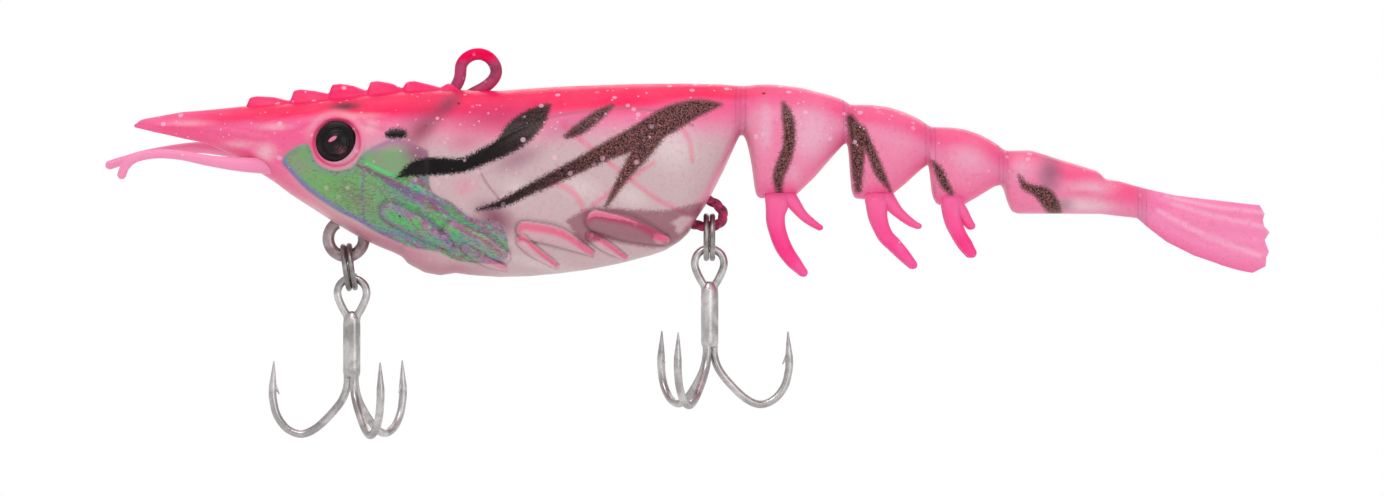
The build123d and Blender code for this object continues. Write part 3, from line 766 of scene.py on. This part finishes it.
def skin_material():
    """The sprayed soft plastic: its colours come from the mesh, its grain from noise."""
    s = Shader("soft_plastic_skin")
    marks = s.channel(s.attribute("marks"))
    axes = s.axes()
    colour = s.attribute("tint")
    # pigment that gathers in clouds and fine grains
    cloud = s.noise(260.0, 4.0, 0.6)
    colour = s.mix(s.step(cloud, 0.35, 0.75, 0.0, 0.04), colour, srgb(250, 220, 228))
    fine = s.noise(2600.0, 3.0, 0.7)
    colour = s.mix(s.step(fine, 0.5, 0.72, 0.0, 0.22), colour, srgb(206, 74, 112))
    grain = s.noise(7500.0, 2.0, 0.7)
    colour = s.mix(s.step(grain, 0.56, 0.74, 0.0, 0.20), colour, srgb(150, 70, 88))
    # crinkles and bare scratches in the foil
    film = s.step(marks[1], 0.5, 0.54)
    along = s.minus(s.times(axes[0], 0.88), s.times(axes[2], 0.48))
    over = s.plus(s.times(axes[0], 0.48), s.times(axes[2], 0.88))
    short_y = s.times(axes[1], 0.33)
    slanted = s.vector(s.times(along, 0.3), short_y, over)
    swirl = s.ramp(s.noise(950.0, 2.0, 0.5, 0.9, slanted), [
        (0.30, srgb(62, 204, 84)), (0.42, srgb(86, 168, 140)),
        (0.49, srgb(118, 112, 186)), (0.55, srgb(190, 116, 164)),
        (0.61, srgb(118, 78, 104)), (0.68, srgb(72, 214, 100))])
    turning = s.times(s.step(axes[0], -0.0125, -0.0040, 0.0, 0.50), film)
    colour = s.mix(turning, colour, swirl)
    stretched = s.vector(s.times(axes[0], 0.33), short_y, axes[2])
    crinkle = s.noise(8200.0, 3.0, 0.65, 0.3, stretched)
    worn = s.step(axes[0], -0.0155, -0.0110, 0.0, 0.075)
    scratch = s.step(s.plus(crinkle, worn), 0.59, 0.63)
    colour = s.mix(s.times(s.times(scratch, film), 0.5), colour, srgb(116, 84, 84))
    glint = s.times(s.step(s.noise(3400.0, 3.0, 0.6, 0.6), 0.60, 0.66), film)
    glint = s.times(glint, s.step(axes[0], -0.0115, -0.0085))
    colour = s.mix(s.times(glint, 0.7), colour, srgb(56, 222, 124))
    # dark patch and black stripes, sprayed, so grainy at their edges
    shift = s.minus(grain, 0.5)
    patch = s.step(s.plus(marks[2], s.times(shift, 0.45)), 0.40, 0.62)
    colour = s.mix(s.times(patch, 0.66), colour, srgb(134, 42, 72))
    stripe = s.step(s.plus(marks[0], s.times(shift, 0.5)), 0.39, 0.59)
    brown = s.step(axes[0], 0.000, 0.014, 0.0, 0.95)
    ink = s.mix(s.times(s.step(grain, 0.40, 0.62), brown), srgb(8, 1, 3), srgb(150, 92, 92))
    colour = s.mix(stripe, colour, ink)
    # pearl flecks, dark specks
    upper = s.step(axes[2], -0.0125, -0.0050, 0.25, 1.0)
    large = s.times(s.step(s.cells(640.0), 0.17, 0.12), s.step(s.noise(200.0, 1.0), 0.40, 0.50))
    small = s.times(s.step(s.cells(1300.0), 0.16, 0.10), s.step(s.noise(330.0, 1.0), 0.44, 0.54))
    flecks = s.times(s.math("MAXIMUM", large, small), upper)
    colour = s.mix(s.times(flecks, 0.62), colour, srgb(250, 196, 220))
    specks = s.times(s.step(s.cells(430.0), 0.075, 0.05), s.step(s.noise(120.0, 1.0), 0.50, 0.58))
    colour = s.mix(s.times(specks, 0.85), colour, srgb(60, 14, 26))
    s.set(Base_Color=colour, Metallic=s.times(film, 0.2),
          Roughness=s.step(s.noise(700.0, 3.0), 0.3, 0.8, 0.3, 0.46),
          Subsurface_Weight=0.25, Subsurface_Scale=0.0012, Subsurface_Radius=(1.0, 0.42, 0.5),
          IOR=1.45, Specular_IOR_Level=0.22, Coat_Weight=0.08, Coat_Roughness=0.16)
    height = s.plus(s.noise(1500.0, 3.0, 0.55), s.times(flecks, 0.6))
    height = s.plus(height, s.times(s.times(crinkle, film), 0.6))
    s.bump(height, 0.00005, 0.5)
    return s.material


def limb_material(name, colour, paler, at_root):
    """Soft plastic of one colour with paler clouds, another colour at its upper end."""
    s = Shader(name)
    fade = s.noise(240.0, 4.0, 0.6)
    mixed = s.mix(s.step(fade, 0.35, 0.72), colour, paler)
    root = s.step(s.axes()[2], -0.0158, -0.0112)
    mixed = s.mix(s.times(root, 0.9), mixed, at_root)
    flecks = s.times(s.step(s.cells(900.0), 0.14, 0.09), s.step(s.noise(210.0), 0.5, 0.6))
    mixed = s.mix(s.times(flecks, 0.6), mixed, srgb(255, 225, 236))
    s.set(Base_Color=mixed, Roughness=s.step(s.noise(800.0, 3.0), 0.3, 0.8, 0.3, 0.45),
          Subsurface_Weight=0.35, Subsurface_Scale=0.0012, Subsurface_Radius=(1.0, 0.4, 0.5),
          IOR=1.45, Specular_IOR_Level=0.28, Coat_Weight=0.12, Coat_Roughness=0.18)
    s.bump(s.noise(1700.0, 3.0, 0.55), 0.00004, 0.5)
    return s.material


def metal_material(name, dark, light, rough):
    """Mottled, slightly pitted metal."""
    s = Shader(name)
    patches = s.noise(420.0, 5.0, 0.65, 0.6)
    colour = s.mix(s.step(patches, 0.35, 0.7), dark, light)
    pits = s.step(s.noise(5200.0, 2.0, 0.6), 0.62, 0.72)
    colour = s.mix(s.times(pits, 0.3), colour, dark * 0.55)
    roughness = s.step(patches, 0.3, 0.75, rough, rough + 0.14)
    s.set(Base_Color=colour, Metallic=1.0, Roughness=roughness)
    s.bump(s.plus(s.noise(2600.0, 4.0, 0.6), s.times(pits, -0.6)), 0.00002, 0.6)
    return s.material


def harness_material():
    """Wire sprayed with the back's pink over the belly line and bare below it."""
    s = Shader("painted_harness_wire")
    axes = s.axes()
    bare = s.step(s.noise(500.0, 4.0, 0.6), 0.35, 0.7)
    steel = s.mix(bare, srgb(140, 118, 122), srgb(186, 170, 172))
    worn = s.step(s.noise(900.0, 4.0, 0.65), 0.4, 0.66)
    paint = s.mix(worn, srgb(190, 72, 116), srgb(150, 66, 98))
    top = s.step(s.plus(axes[2], s.times(s.noise(900.0), 0.0012)), 0.0012, 0.0020)
    paint = s.mix(top, paint, srgb(240, 0, 84))
    flecks = s.times(s.step(s.cells(1000.0), 0.16, 0.1), 0.35)
    paint = s.mix(flecks, paint, srgb(240, 170, 200))
    painted = s.step(axes[2], -0.010, -0.006)
    s.set(Base_Color=s.mix(painted, steel, paint), Specular_IOR_Level=0.06,
          Metallic=s.step(painted, 0.0, 1.0, 0.85, 0.05),
          Roughness=s.step(s.noise(800.0), 0.3, 0.7, 0.3, 0.5))
    s.bump(s.noise(2200.0, 4.0, 0.6), 0.00006, 0.6)
    return s.material


def eye_material():
    """Black glossy plastic with a lighter ring in its groove, a painted reddish reflection over its pit
    and a painted pink highlight.
    """
    s = Shader("moulded_eye")
    axes = s.axes()
    dx = s.minus(axes[0], EYE[0] * MM)
    dz = s.minus(axes[2], EYE[1] * MM)
    far = s.length(dx, dz)
    mottle = s.noise(1500.0, 4.0, 0.7, 0.5)
    colour = s.mix(s.step(mottle, 0.45, 0.75), srgb(6, 4, 5), srgb(30, 20, 24))
    groove = s.times(s.step(far, 0.00112, 0.00122), s.step(far, 0.00142, 0.0013))
    colour = s.mix(s.times(groove, 0.8), colour, srgb(60, 44, 50))

    def oval(cx, cz, rx, rz, turn, soft):
        c, n = math.cos(math.radians(turn)), math.sin(math.radians(turn))
        u = s.minus(dx, cx * MM)
        v = s.minus(dz, cz * MM)
        a = s.plus(s.times(u, c / (rx * MM)), s.times(v, n / (rx * MM)))
        b = s.plus(s.times(u, -n / (rz * MM)), s.times(v, c / (rz * MM)))
        return s.step(s.length(a, b), 1.0, 1.0 - soft)

    # painted reddish reflection, low in the middle of the eye over its pit
    pit = s.times(oval(0.35, -0.62, 0.75, 0.6, -20, 0.9), s.step(mottle, 0.4, 0.6))
    colour = s.mix(pit, colour, srgb(120, 62, 78))
    # painted pink highlight toward the upper front of the eye
    colour = s.mix(oval(-0.33, 0.3, 0.5, 0.2, 32, 0.35), colour, srgb(236, 120, 160))
    s.set(Base_Color=colour, Roughness=s.step(mottle, 0.3, 0.7, 0.22, 0.4),
          Specular_IOR_Level=0.2, Coat_Weight=0.12, Coat_Roughness=0.08, IOR=1.5)
    s.bump(s.plus(mottle, s.times(groove, -3.0)), 0.00004, 0.6)
    return s.material


def cord_material():
    s = Shader("dark_magenta_cord")
    strands = s.noise(2600.0, 3.0, 0.6, 0.8)
    colour = s.mix(s.step(strands, 0.35, 0.65), srgb(96, 14, 52), srgb(196, 30, 98))
    s.set(Base_Color=colour, Sheen_Weight=0.3, Roughness=s.step(strands, 0.3, 0.7, 0.5, 0.75))
    s.bump(strands, 0.00008, 0.7)
    return s.material


def stage_material():
    """A pale floor that glows, brightening to white toward its rim, with no glow near the object."""
    s = Shader("pale_studio")
    tone = s.mix(s.step(s.noise(3.0), 0.3, 0.7), (0.86, 0.86, 0.86), (0.9, 0.9, 0.9))
    axes = s.axes()
    radius = s.length(axes[0], axes[1])
    s.set(Base_Color=tone, Roughness=0.9, Specular_IOR_Level=0.1, Emission_Color=(1.0, 1.0, 1.0),
          Emission_Strength=s.step(radius, 0.14, 0.34, 0.0, 0.8))
    return s.material


def dress(thing, material):
    thing.data.materials.clear()
    thing.data.materials.append(material)
    return thing


# ---- soft skin, piece by piece ----
skin = skin_material()
carapace = dress(skin_piece("skin_carapace", -30.35, WEB_SPANS[0][0], 276, 0.125), skin)
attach(carapace, "lure_body")
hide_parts("soft_carapace")
for number in (1, 2, 3, 4):
    first, last = WEB_SPANS[number - 1][1], WEB_SPANS[number][0]
    piece = dress(skin_piece("skin_segment_%d" % number, first, last, 160, 0.13), skin)
    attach(piece, CHAIN[number])
    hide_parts("tail_segment_%d" % number)
fan = dress(skin_piece("skin_tail_fan", WEB_SPANS[4][1], FAN_END, 160, 0.1, fan_shape), skin)
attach(fan, "tail_fan_body")
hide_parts("tail_fan")
for number in (1, 2, 3, 4, 5):
    first, last = WEB_SPANS[number - 1]
    middle = WEB_X[number - 1]
    web = "tail_web_%d" % number
    height = (back(middle) + belly(middle)) / 2
    for word, low, high, a, b in (("front", first, middle, CHAIN[number - 1], web),
                                  ("rear", middle, last, web, CHAIN[number])):
        name = "skin_web_%d_%s" % (number, word)
        piece = dress(skin_piece(name, low, high, 160, 0.06), skin)
        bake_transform(piece)
        if word == "front":
            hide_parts("web_%d" % number)


# ---- crest, antennae and swimming legs ----
def crest():
    """The toothed ridge along the back of the head."""
    teeth = [
        (-21.6, -3.2), (-20.5, -3.05), (-20.15, -2.25), (-19.5, -2.12), (-18.0, -2.2), (-16.75, -2.5),
        (-16.55, -2.5), (-16.3, -1.65), (-15.7, -1.52), (-14.4, -1.65), (-13.3, -1.88),
        (-13.15, -1.85), (-12.9, -1.12), (-12.2, -1.02), (-11.0, -1.2), (-9.9, -1.62),
        (-9.75, -1.55), (-9.5, -0.85), (-8.8, -0.78), (-7.6, -1.0), (-6.75, -1.38), (-6.6, -1.35),
        (-6.35, -0.85), (-5.6, -0.78), (-4.4, -1.05), (-3.3, -1.35), (-2.7, -1.0), (-2.1, -1.05),
        (-1.4, -1.7), (-0.6, -1.9),
    ]
    first, last = teeth[0][0], teeth[-1][0]
    step, blur, reach = 0.02, 0.06, 12
    xs = np.arange(first, last, step)
    line = np.interp(xs, [p[0] for p in teeth], [p[1] for p in teeth])
    window = np.exp(-0.5 * (np.arange(-reach, reach + 1) * step / blur) ** 2)
    line = np.convolve(np.pad(line, reach, "edge"), window / window.sum(), "valid")
    # every fourth place is enough for the rings
    xs, line = xs[::4], line[::4]
    low = back(xs) - 1.0
    from_middle = np.abs(2.0 * xs - first - last) / (last - first)
    ends = np.sqrt(np.clip(1.0 - from_middle ** 12, 0.02, 1.0))
    turn = round_turn(48)
    across = rounded(np.cos(turn), 0.8)
    upward = rounded(np.sin(turn), 0.6)
    middle, tall = (line + low)[:, None] / 2, (line - low)[:, None] / 2
    z = middle + tall * upward[None, :]
    wide = 0.75 + 0.35 * smoothstep(0.6, -0.9, upward)[None, :]
    y = across[None, :] * wide * ends[:, None]
    x = np.broadcast_to(xs[:, None], z.shape)
    colours = np.broadcast_to(srgb(255, 34, 112), z.shape + (3,)).copy()
    marks = [np.zeros(z.shape)] * 3
    grid = np.stack([x, y, z], axis=-1)
    return mesh_from("skin_crest", [grid], colours=colours, masks=marks)


ridge = dress(crest(), skin)
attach(ridge, "lure_body")

pale_limb = limb_material("soft_antenna", srgb(250, 128, 176), srgb(247, 178, 205), srgb(250, 150, 190))
hot_limb = limb_material("soft_leg", LEG_PINK, srgb(253, 96, 166), srgb(251, 106, 164))
# a route of X, Y, Z and the half widths along it
ANTENNAE = {
    "left": ([(-17.6, -1.6, -8.3), (-19.4, -2.3, -8.25), (-21.2, -2.4, -8.15), (-23.6, -2.3, -7.85),
              (-26.2, -2.2, -7.35), (-28.3, -2.1, -7.25), (-30.1, -2.0, -7.6), (-31.0, -2.0, -8.35),
              (-31.45, -2.0, -9.45)], [.75, .7, .6, .5, .44, .42, .4, .4, .4]),
    "right": ([(-18.6, 1.5, -7.4), (-20.6, 1.9, -7.15), (-22.6, 2.0, -6.8), (-25.4, 2.0, -6.65),
               (-29.0, 2.0, -7.15), (-31.3, 2.0, -7.75), (-33.05, 2.0, -8.3)],
              [.7, .65, .55, .46, .42, .4, .4]),
}
for side, (route, widths) in ANTENNAE.items():
    grid = tube(route, widths, [w * 0.9 for w in widths], steps=110)
    piece = mesh_from("skin_antenna_" + side, [grid])
    dress(piece, pale_limb)
    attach(piece, "lure_body")
    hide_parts("antenna_" + side)

# a route of X, Z and the half widths along it
LONG_LEGS = {
    1: ([(26.6, -9.6), (26.45, -11.6), (26.25, -13.2), (26.5, -14.6), (27.0, -15.9), (27.75, -17.05),
         (28.95, -18.45)], [1.25, 1.2, .85, .75, .72, .62, .34]),
    2: ([(35.3, -9.6), (35.25, -11.6), (35.3, -13.1), (35.9, -14.7), (36.7, -15.6), (37.6, -16.6),
         (38.6, -17.75)], [1.25, 1.15, .85, .68, .65, .55, .34]),
    3: ([(41.9, -10.6), (41.85, -12.0), (41.95, -13.4), (42.4, -14.6), (43.05, -15.7), (43.75, -16.75)],
        [1.0, .95, .75, .62, .6, .4]),
}
SHORT_LEGS = {
    1: ([(27.2, -10.7), (27.9, -11.9), (28.7, -12.95), (29.6, -13.7), (30.4, -14.2)],
        [.7, .6, .45, .36, .24]),
    2: ([(35.9, -10.9), (36.6, -12.1), (37.4, -12.95), (38.3, -13.65), (39.1, -14.05)],
        [.7, .6, .45, .36, .24]),
    3: ([(42.2, -11.8), (42.7, -12.6), (43.2, -13.5), (43.7, -14.2)], [.5, .5, .42, .32]),
}


LEG_ROOT_Z = -10.6
LEG_ROOT_Y = 1.7
LEG_SPLAY = math.radians(8.0)


def splayed(grid, side):
    """Moves a leg from the middle plane to its side of the belly, splayed outward."""
    cosine, sine = math.cos(LEG_SPLAY), math.sin(LEG_SPLAY)
    y, z = grid[..., 1], grid[..., 2] - LEG_ROOT_Z
    tuck = 0.8 * smoothstep(-1.2, 0.4, z)
    grid[..., 1] = side * (LEG_ROOT_Y - tuck) + y * cosine - side * z * sine
    grid[..., 2] = z * cosine + side * y * sine + LEG_ROOT_Z
    return grid


for number in (1, 2, 3):
    for side, word in ((-1, "left"), (1, "right")):
        for table, kind in ((LONG_LEGS, "long"), (SHORT_LEGS, "short")):
            route, widths = table[number]
            path = [(x, 0.0, z) for x, z in route]
            thick = [min(0.55, w) for w in widths]
            grid = splayed(tube(path, widths, thick, steps=70), side)
            piece = dress(mesh_from("skin_leg_%d_%s_%s" % (number, word, kind), [grid]), hot_limb)
            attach(piece, CHAIN[number])
            if kind == "long":
                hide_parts("swimming_leg_%d_%s" % (number, word))


# ---- rear cord: three laid strands ----
def cord_strands():
    """Three round strands twisted about the cord's route."""
    route = [
        (15.9, 0, -10.6), (17.6, 0, -11.0), (19.3, 0, -11.1), (20.6, 0, -11.4), (21.5, 0, -12.15),
        (21.6, 0, -12.95), (21.1, 0, -13.5), (20.42, 0, -13.6), (19.5, 0, -13.55),
        (18.4, 0, -13.2), (17.2, 0, -12.75), (15.6, 0, -12.6),
    ]
    steps, turns = 260, 5.0
    line = spline_points(route, steps)
    tangent = np.gradient(line, axis=0)
    tangent /= np.linalg.norm(tangent, axis=1)[:, None]
    side = np.cross(tangent, (0.0, 1.0, 0.0))
    up = np.cross(side, tangent)
    twist = np.linspace(0.0, 2.0 * np.pi * turns, steps)
    thickness = np.full(steps, 0.25)
    pieces = []
    for strand in range(3):
        angle = twist + strand * 2.0 * np.pi / 3.0
        path = line + 0.21 * (np.cos(angle)[:, None] * side + np.sin(angle)[:, None] * up)
        grid = sweep(path, thickness, thickness, (0.0, 1.0, 0.0), 16)
        pieces.append(mesh_from("rear_cord_strand_%d" % (strand + 1), [grid]))
    return pieces


magenta = cord_material()
for number, strand in enumerate(cord_strands()):
    dress(strand, magenta)
    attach(strand, "lure_body")
    if number == 0:
        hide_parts("rear_cord_loop")

# ---- eyes: a dome, a groove and a raised rim ----
def eyeball(name, side):
    """A dome with a ring groove, a pit and a raised glint."""
    radii = np.concatenate([[0.02], np.linspace(0.08, EYE[2], 60)])
    turn = round_turn(96) * side
    sphere_middle, sphere_radius = 2.75, 2.5
    out = sphere_middle + np.sqrt(sphere_radius ** 2 - radii ** 2)
    out = out - 0.2 * hump(radii, 1.24, 0.08) - 0.07 * smoothstep(1.0, 0.85, radii)
    out = out - 0.5 * smoothstep(1.78, EYE[2], radii)
    x = EYE[0] + radii[:, None] * np.cos(turn)[None, :]
    z = EYE[1] + radii[:, None] * np.sin(turn)[None, :]
    pit = 0.14 * blob(x, z, (EYE[0] + 0.35, EYE[1] - 0.55), (0.8, 0.6), -20)
    glint = 1.0 - oval_radius(x, z, (EYE[0] - .33, EYE[1] + .3), (.5, .22), 32)
    y = side * (out[:, None] - pit + 0.1 * smoothstep(0.0, 0.5, glint))
    return mesh_from(name, [np.stack([x, y, z], axis=-1)])


EYEBALLS = {word: eyeball("skin_eye_" + word, side) for side, word in ((-1, "left"), (1, "right"))}


# ---- treble hooks ----
WIRE_RADIUS = 0.35
# distance from the shank's middle and height over the sleeve's foot
HOOK_ROUTE = [
    (0.41, 5.0), (0.41, 2.4), (0.41, 0.3), (0.45, -1.06), (0.97, -2.4), (2.3, -3.97), (3.5, -4.95),
    (4.65, -5.3), (5.85, -4.8), (6.7, -3.7), (7.06, -2.4), (7.12, -1.5), (7.06, -0.2), (7.0, 1.15),
]
EYE_ROUTE = [(0.36, 4.3), (0.44, 5.1), (0.78, 5.72), (1.12, 6.42), (1.3, 7.05), (1.2, 7.67),
             (0.92, 8.09), (0.5, 8.37), (0.0, 8.47)]


def hook_shape(azimuth):
    """One hook of round wire, ground to a point, with its barb."""
    c, s = math.cos(math.radians(azimuth)), math.sin(math.radians(azimuth))
    normal = (-s, c, 0.0)
    path = [(r * c, r * s, z) for r, z in HOOK_ROUTE]
    widths = [WIRE_RADIUS] * 16 + [0.21, 0.05]
    wire = tube(path, widths, widths, places=24, steps=230, flat_axis=normal)
    barb_path = [(r * c, r * s, z) for r, z in ((7.12, -0.5), (6.85, -1.15), (6.5, -1.8))]
    barb = tube(barb_path, [.2, .14, .05], [.12, .1, .04], places=12, steps=14, flat_axis=normal)
    return [wire, barb]


def treble_shapes():
    """The loop with two hooks, the single hook and the three-lobed sleeve, foot at height 0."""
    mirrored = [(-x, z) for x, z in EYE_ROUTE[:-1]] + EYE_ROUTE[::-1]
    wire = [WIRE_RADIUS, WIRE_RADIUS]
    loop = tube([(x, 0.0, z) for x, z in mirrored], wire, wire, places=24, steps=170, blunt=True)
    z = np.array([-0.3, -0.12, 0.02, 0.3, 1.0, 2.2, 3.4, 4.3, 4.7, 5.05, 5.35, 5.55])
    radius = np.array([.6, .72, .78, .8, .79, .8, .8, .8, .77, .68, .55, .4])
    turn = round_turn(72)
    lobes = 1.0 - 0.045 * (1.0 - np.cos(3.0 * (turn - math.pi)))
    across = radius[:, None] * lobes[None, :]
    sleeve = np.stack([across * np.cos(turn), across * np.sin(turn),
                       np.broadcast_to(z[:, None], across.shape)], axis=-1)
    return {"double": [loop] + hook_shape(180) + hook_shape(60), "single": hook_shape(-60),
            "braze": [sleeve]}


def hung(grids, x, foot_z, turn):
    """Turns a treble about its shank and puts it in its place."""
    c, s = math.cos(math.radians(turn)), math.sin(math.radians(turn))
    placed = []
    for grid in grids:
        gx, gy = grid[..., 0] * c - grid[..., 1] * s, grid[..., 0] * s + grid[..., 1] * c
        placed.append(np.stack([gx + x, gy, grid[..., 2] + foot_z], axis=-1))
    return placed


# X of the shank, Z of the sleeve's foot and the turn about the shank in degrees
TREBLES = {"front": (-11.128, -26.6635, -7.0), "rear": (20.42, -24.04, 187.0)}
hooks = []
for end, place in TREBLES.items():
    for part, grids in treble_shapes().items():
        piece = mesh_from("%s_treble_%s_shape" % (end, part), hung(grids, *place))
        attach(piece, end + "_treble")
        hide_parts("%s_treble_%s" % (end, part))
        hooks.append(piece)

# ---- carried-over CAD pieces ----
tin = metal_material("bright_tin", srgb(172, 167, 167), srgb(226, 222, 222), 0.26)
steel = metal_material("grey_steel", srgb(128, 122, 120), srgb(188, 184, 182), 0.28)
lead = metal_material("cast_lead", srgb(92, 92, 98), srgb(132, 132, 138), 0.5)
eye_black = eye_material()
harness = harness_material()
clear = limb_material("clear_core", srgb(231, 205, 211), srgb(240, 222, 228), srgb(235, 214, 220))
film = metal_material("iridescent_film", srgb(70, 180, 84), srgb(140, 120, 190), 0.3)
CAD_MATERIALS = {
    "harness_wire": harness, "clear_core": clear, "ballast_weight": lead,
    "foil_left": film, "foil_right": film, "front_split_ring": steel, "rear_split_ring": steel,
}
for piece in hooks:
    dress(piece, tin)
for word, piece in EYEBALLS.items():
    dress(piece, eye_black)
    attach(piece, "lure_body")
    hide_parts("eye_" + word)
for name, material in CAD_MATERIALS.items():
    dress(nodes[name], material)
    nodes[name].data.shade_smooth()


# ---- floor, light and camera ----
# about the middle of the object, in metres
MIDDLE = (0.02, 0.0, -0.01)


def round_floor(radius, height):
    """A flat round floor under the object."""
    turn = round_turn(128)
    points = [(MIDDLE[0] + radius * math.cos(a), radius * math.sin(a), height) for a in turn]
    mesh = bpy.data.meshes.new("studio_floor")
    mesh.from_pydata(points, [], [tuple(range(len(points)))])
    thing = bpy.data.objects.new("studio_floor", mesh)
    bpy.context.scene.collection.objects.link(thing)
    return thing


floor = dress(round_floor(radius=0.37, height=-0.05), stage_material())


def area_light(name, place, size, power):
    """A soft lamp aimed at the middle of the object, in metres and watts."""
    data = bpy.data.lights.new(name, "AREA")
    data.shape = "RECTANGLE"
    data.size, data.size_y = size
    data.energy = power
    lamp = bpy.data.objects.new(name, data)
    bpy.context.scene.collection.objects.link(lamp)
    lamp.location = place
    aim = np.array(MIDDLE) - np.array(place)
    yaw = math.atan2(aim[1], aim[0]) - math.pi / 2
    pitch = math.atan2(aim[2], math.hypot(aim[0], aim[1])) + math.pi / 2
    lamp.rotation_euler = (pitch, 0.0, yaw)


for name, place, size, power in (
    ("key", (-0.12, -0.42, 0.42), (0.30, 0.22), 0.80),
    ("fill", (0.32, -0.5, 0.10), (0.3, 0.3), 0.36),
    ("top", (0.02, 0.05, 0.45), (0.5, 0.3), 0.47),
    ("back", (0.10, 0.50, 0.30), (0.4, 0.3), 0.47),
):
    area_light(name, place, size, power)
# the world is white behind the object and dimmer as a light on it
world = bpy.data.worlds.new("studio")
world.use_nodes = True
world_tree = world.node_tree
seen = world_tree.nodes.new("ShaderNodeLightPath")
brightness = world_tree.nodes.new("ShaderNodeMapRange")
brightness.inputs["To Min"].default_value = 0.60
brightness.inputs["To Max"].default_value = 1.0
world_tree.links.new(seen.outputs["Is Camera Ray"], brightness.inputs["Value"])
backing = world_tree.nodes["Background"]
backing.inputs["Color"].default_value = (1.0, 1.0, 1.0, 1.0)
world_tree.links.new(brightness.outputs["Result"], backing.inputs["Strength"])
bpy.context.scene.world = world
bpy.context.scene.view_settings.view_transform = "Standard"

# a long lens at the object's own height, level and square to its side
CAMERA_PLACE = (0.01889, -0.679, -0.01553)
camera_data = bpy.data.cameras.new("camera")
camera_data.lens = 200.0
camera_data.sensor_width = 36.0
camera_data.clip_start = 0.01
camera_data.clip_end = 20.0
camera = bpy.data.objects.new("camera", camera_data)
bpy.context.scene.collection.objects.link(camera)
camera.location = CAMERA_PLACE
camera.rotation_euler = (math.radians(90.0), 0.0, 0.0)
bpy.context.scene.camera = camera
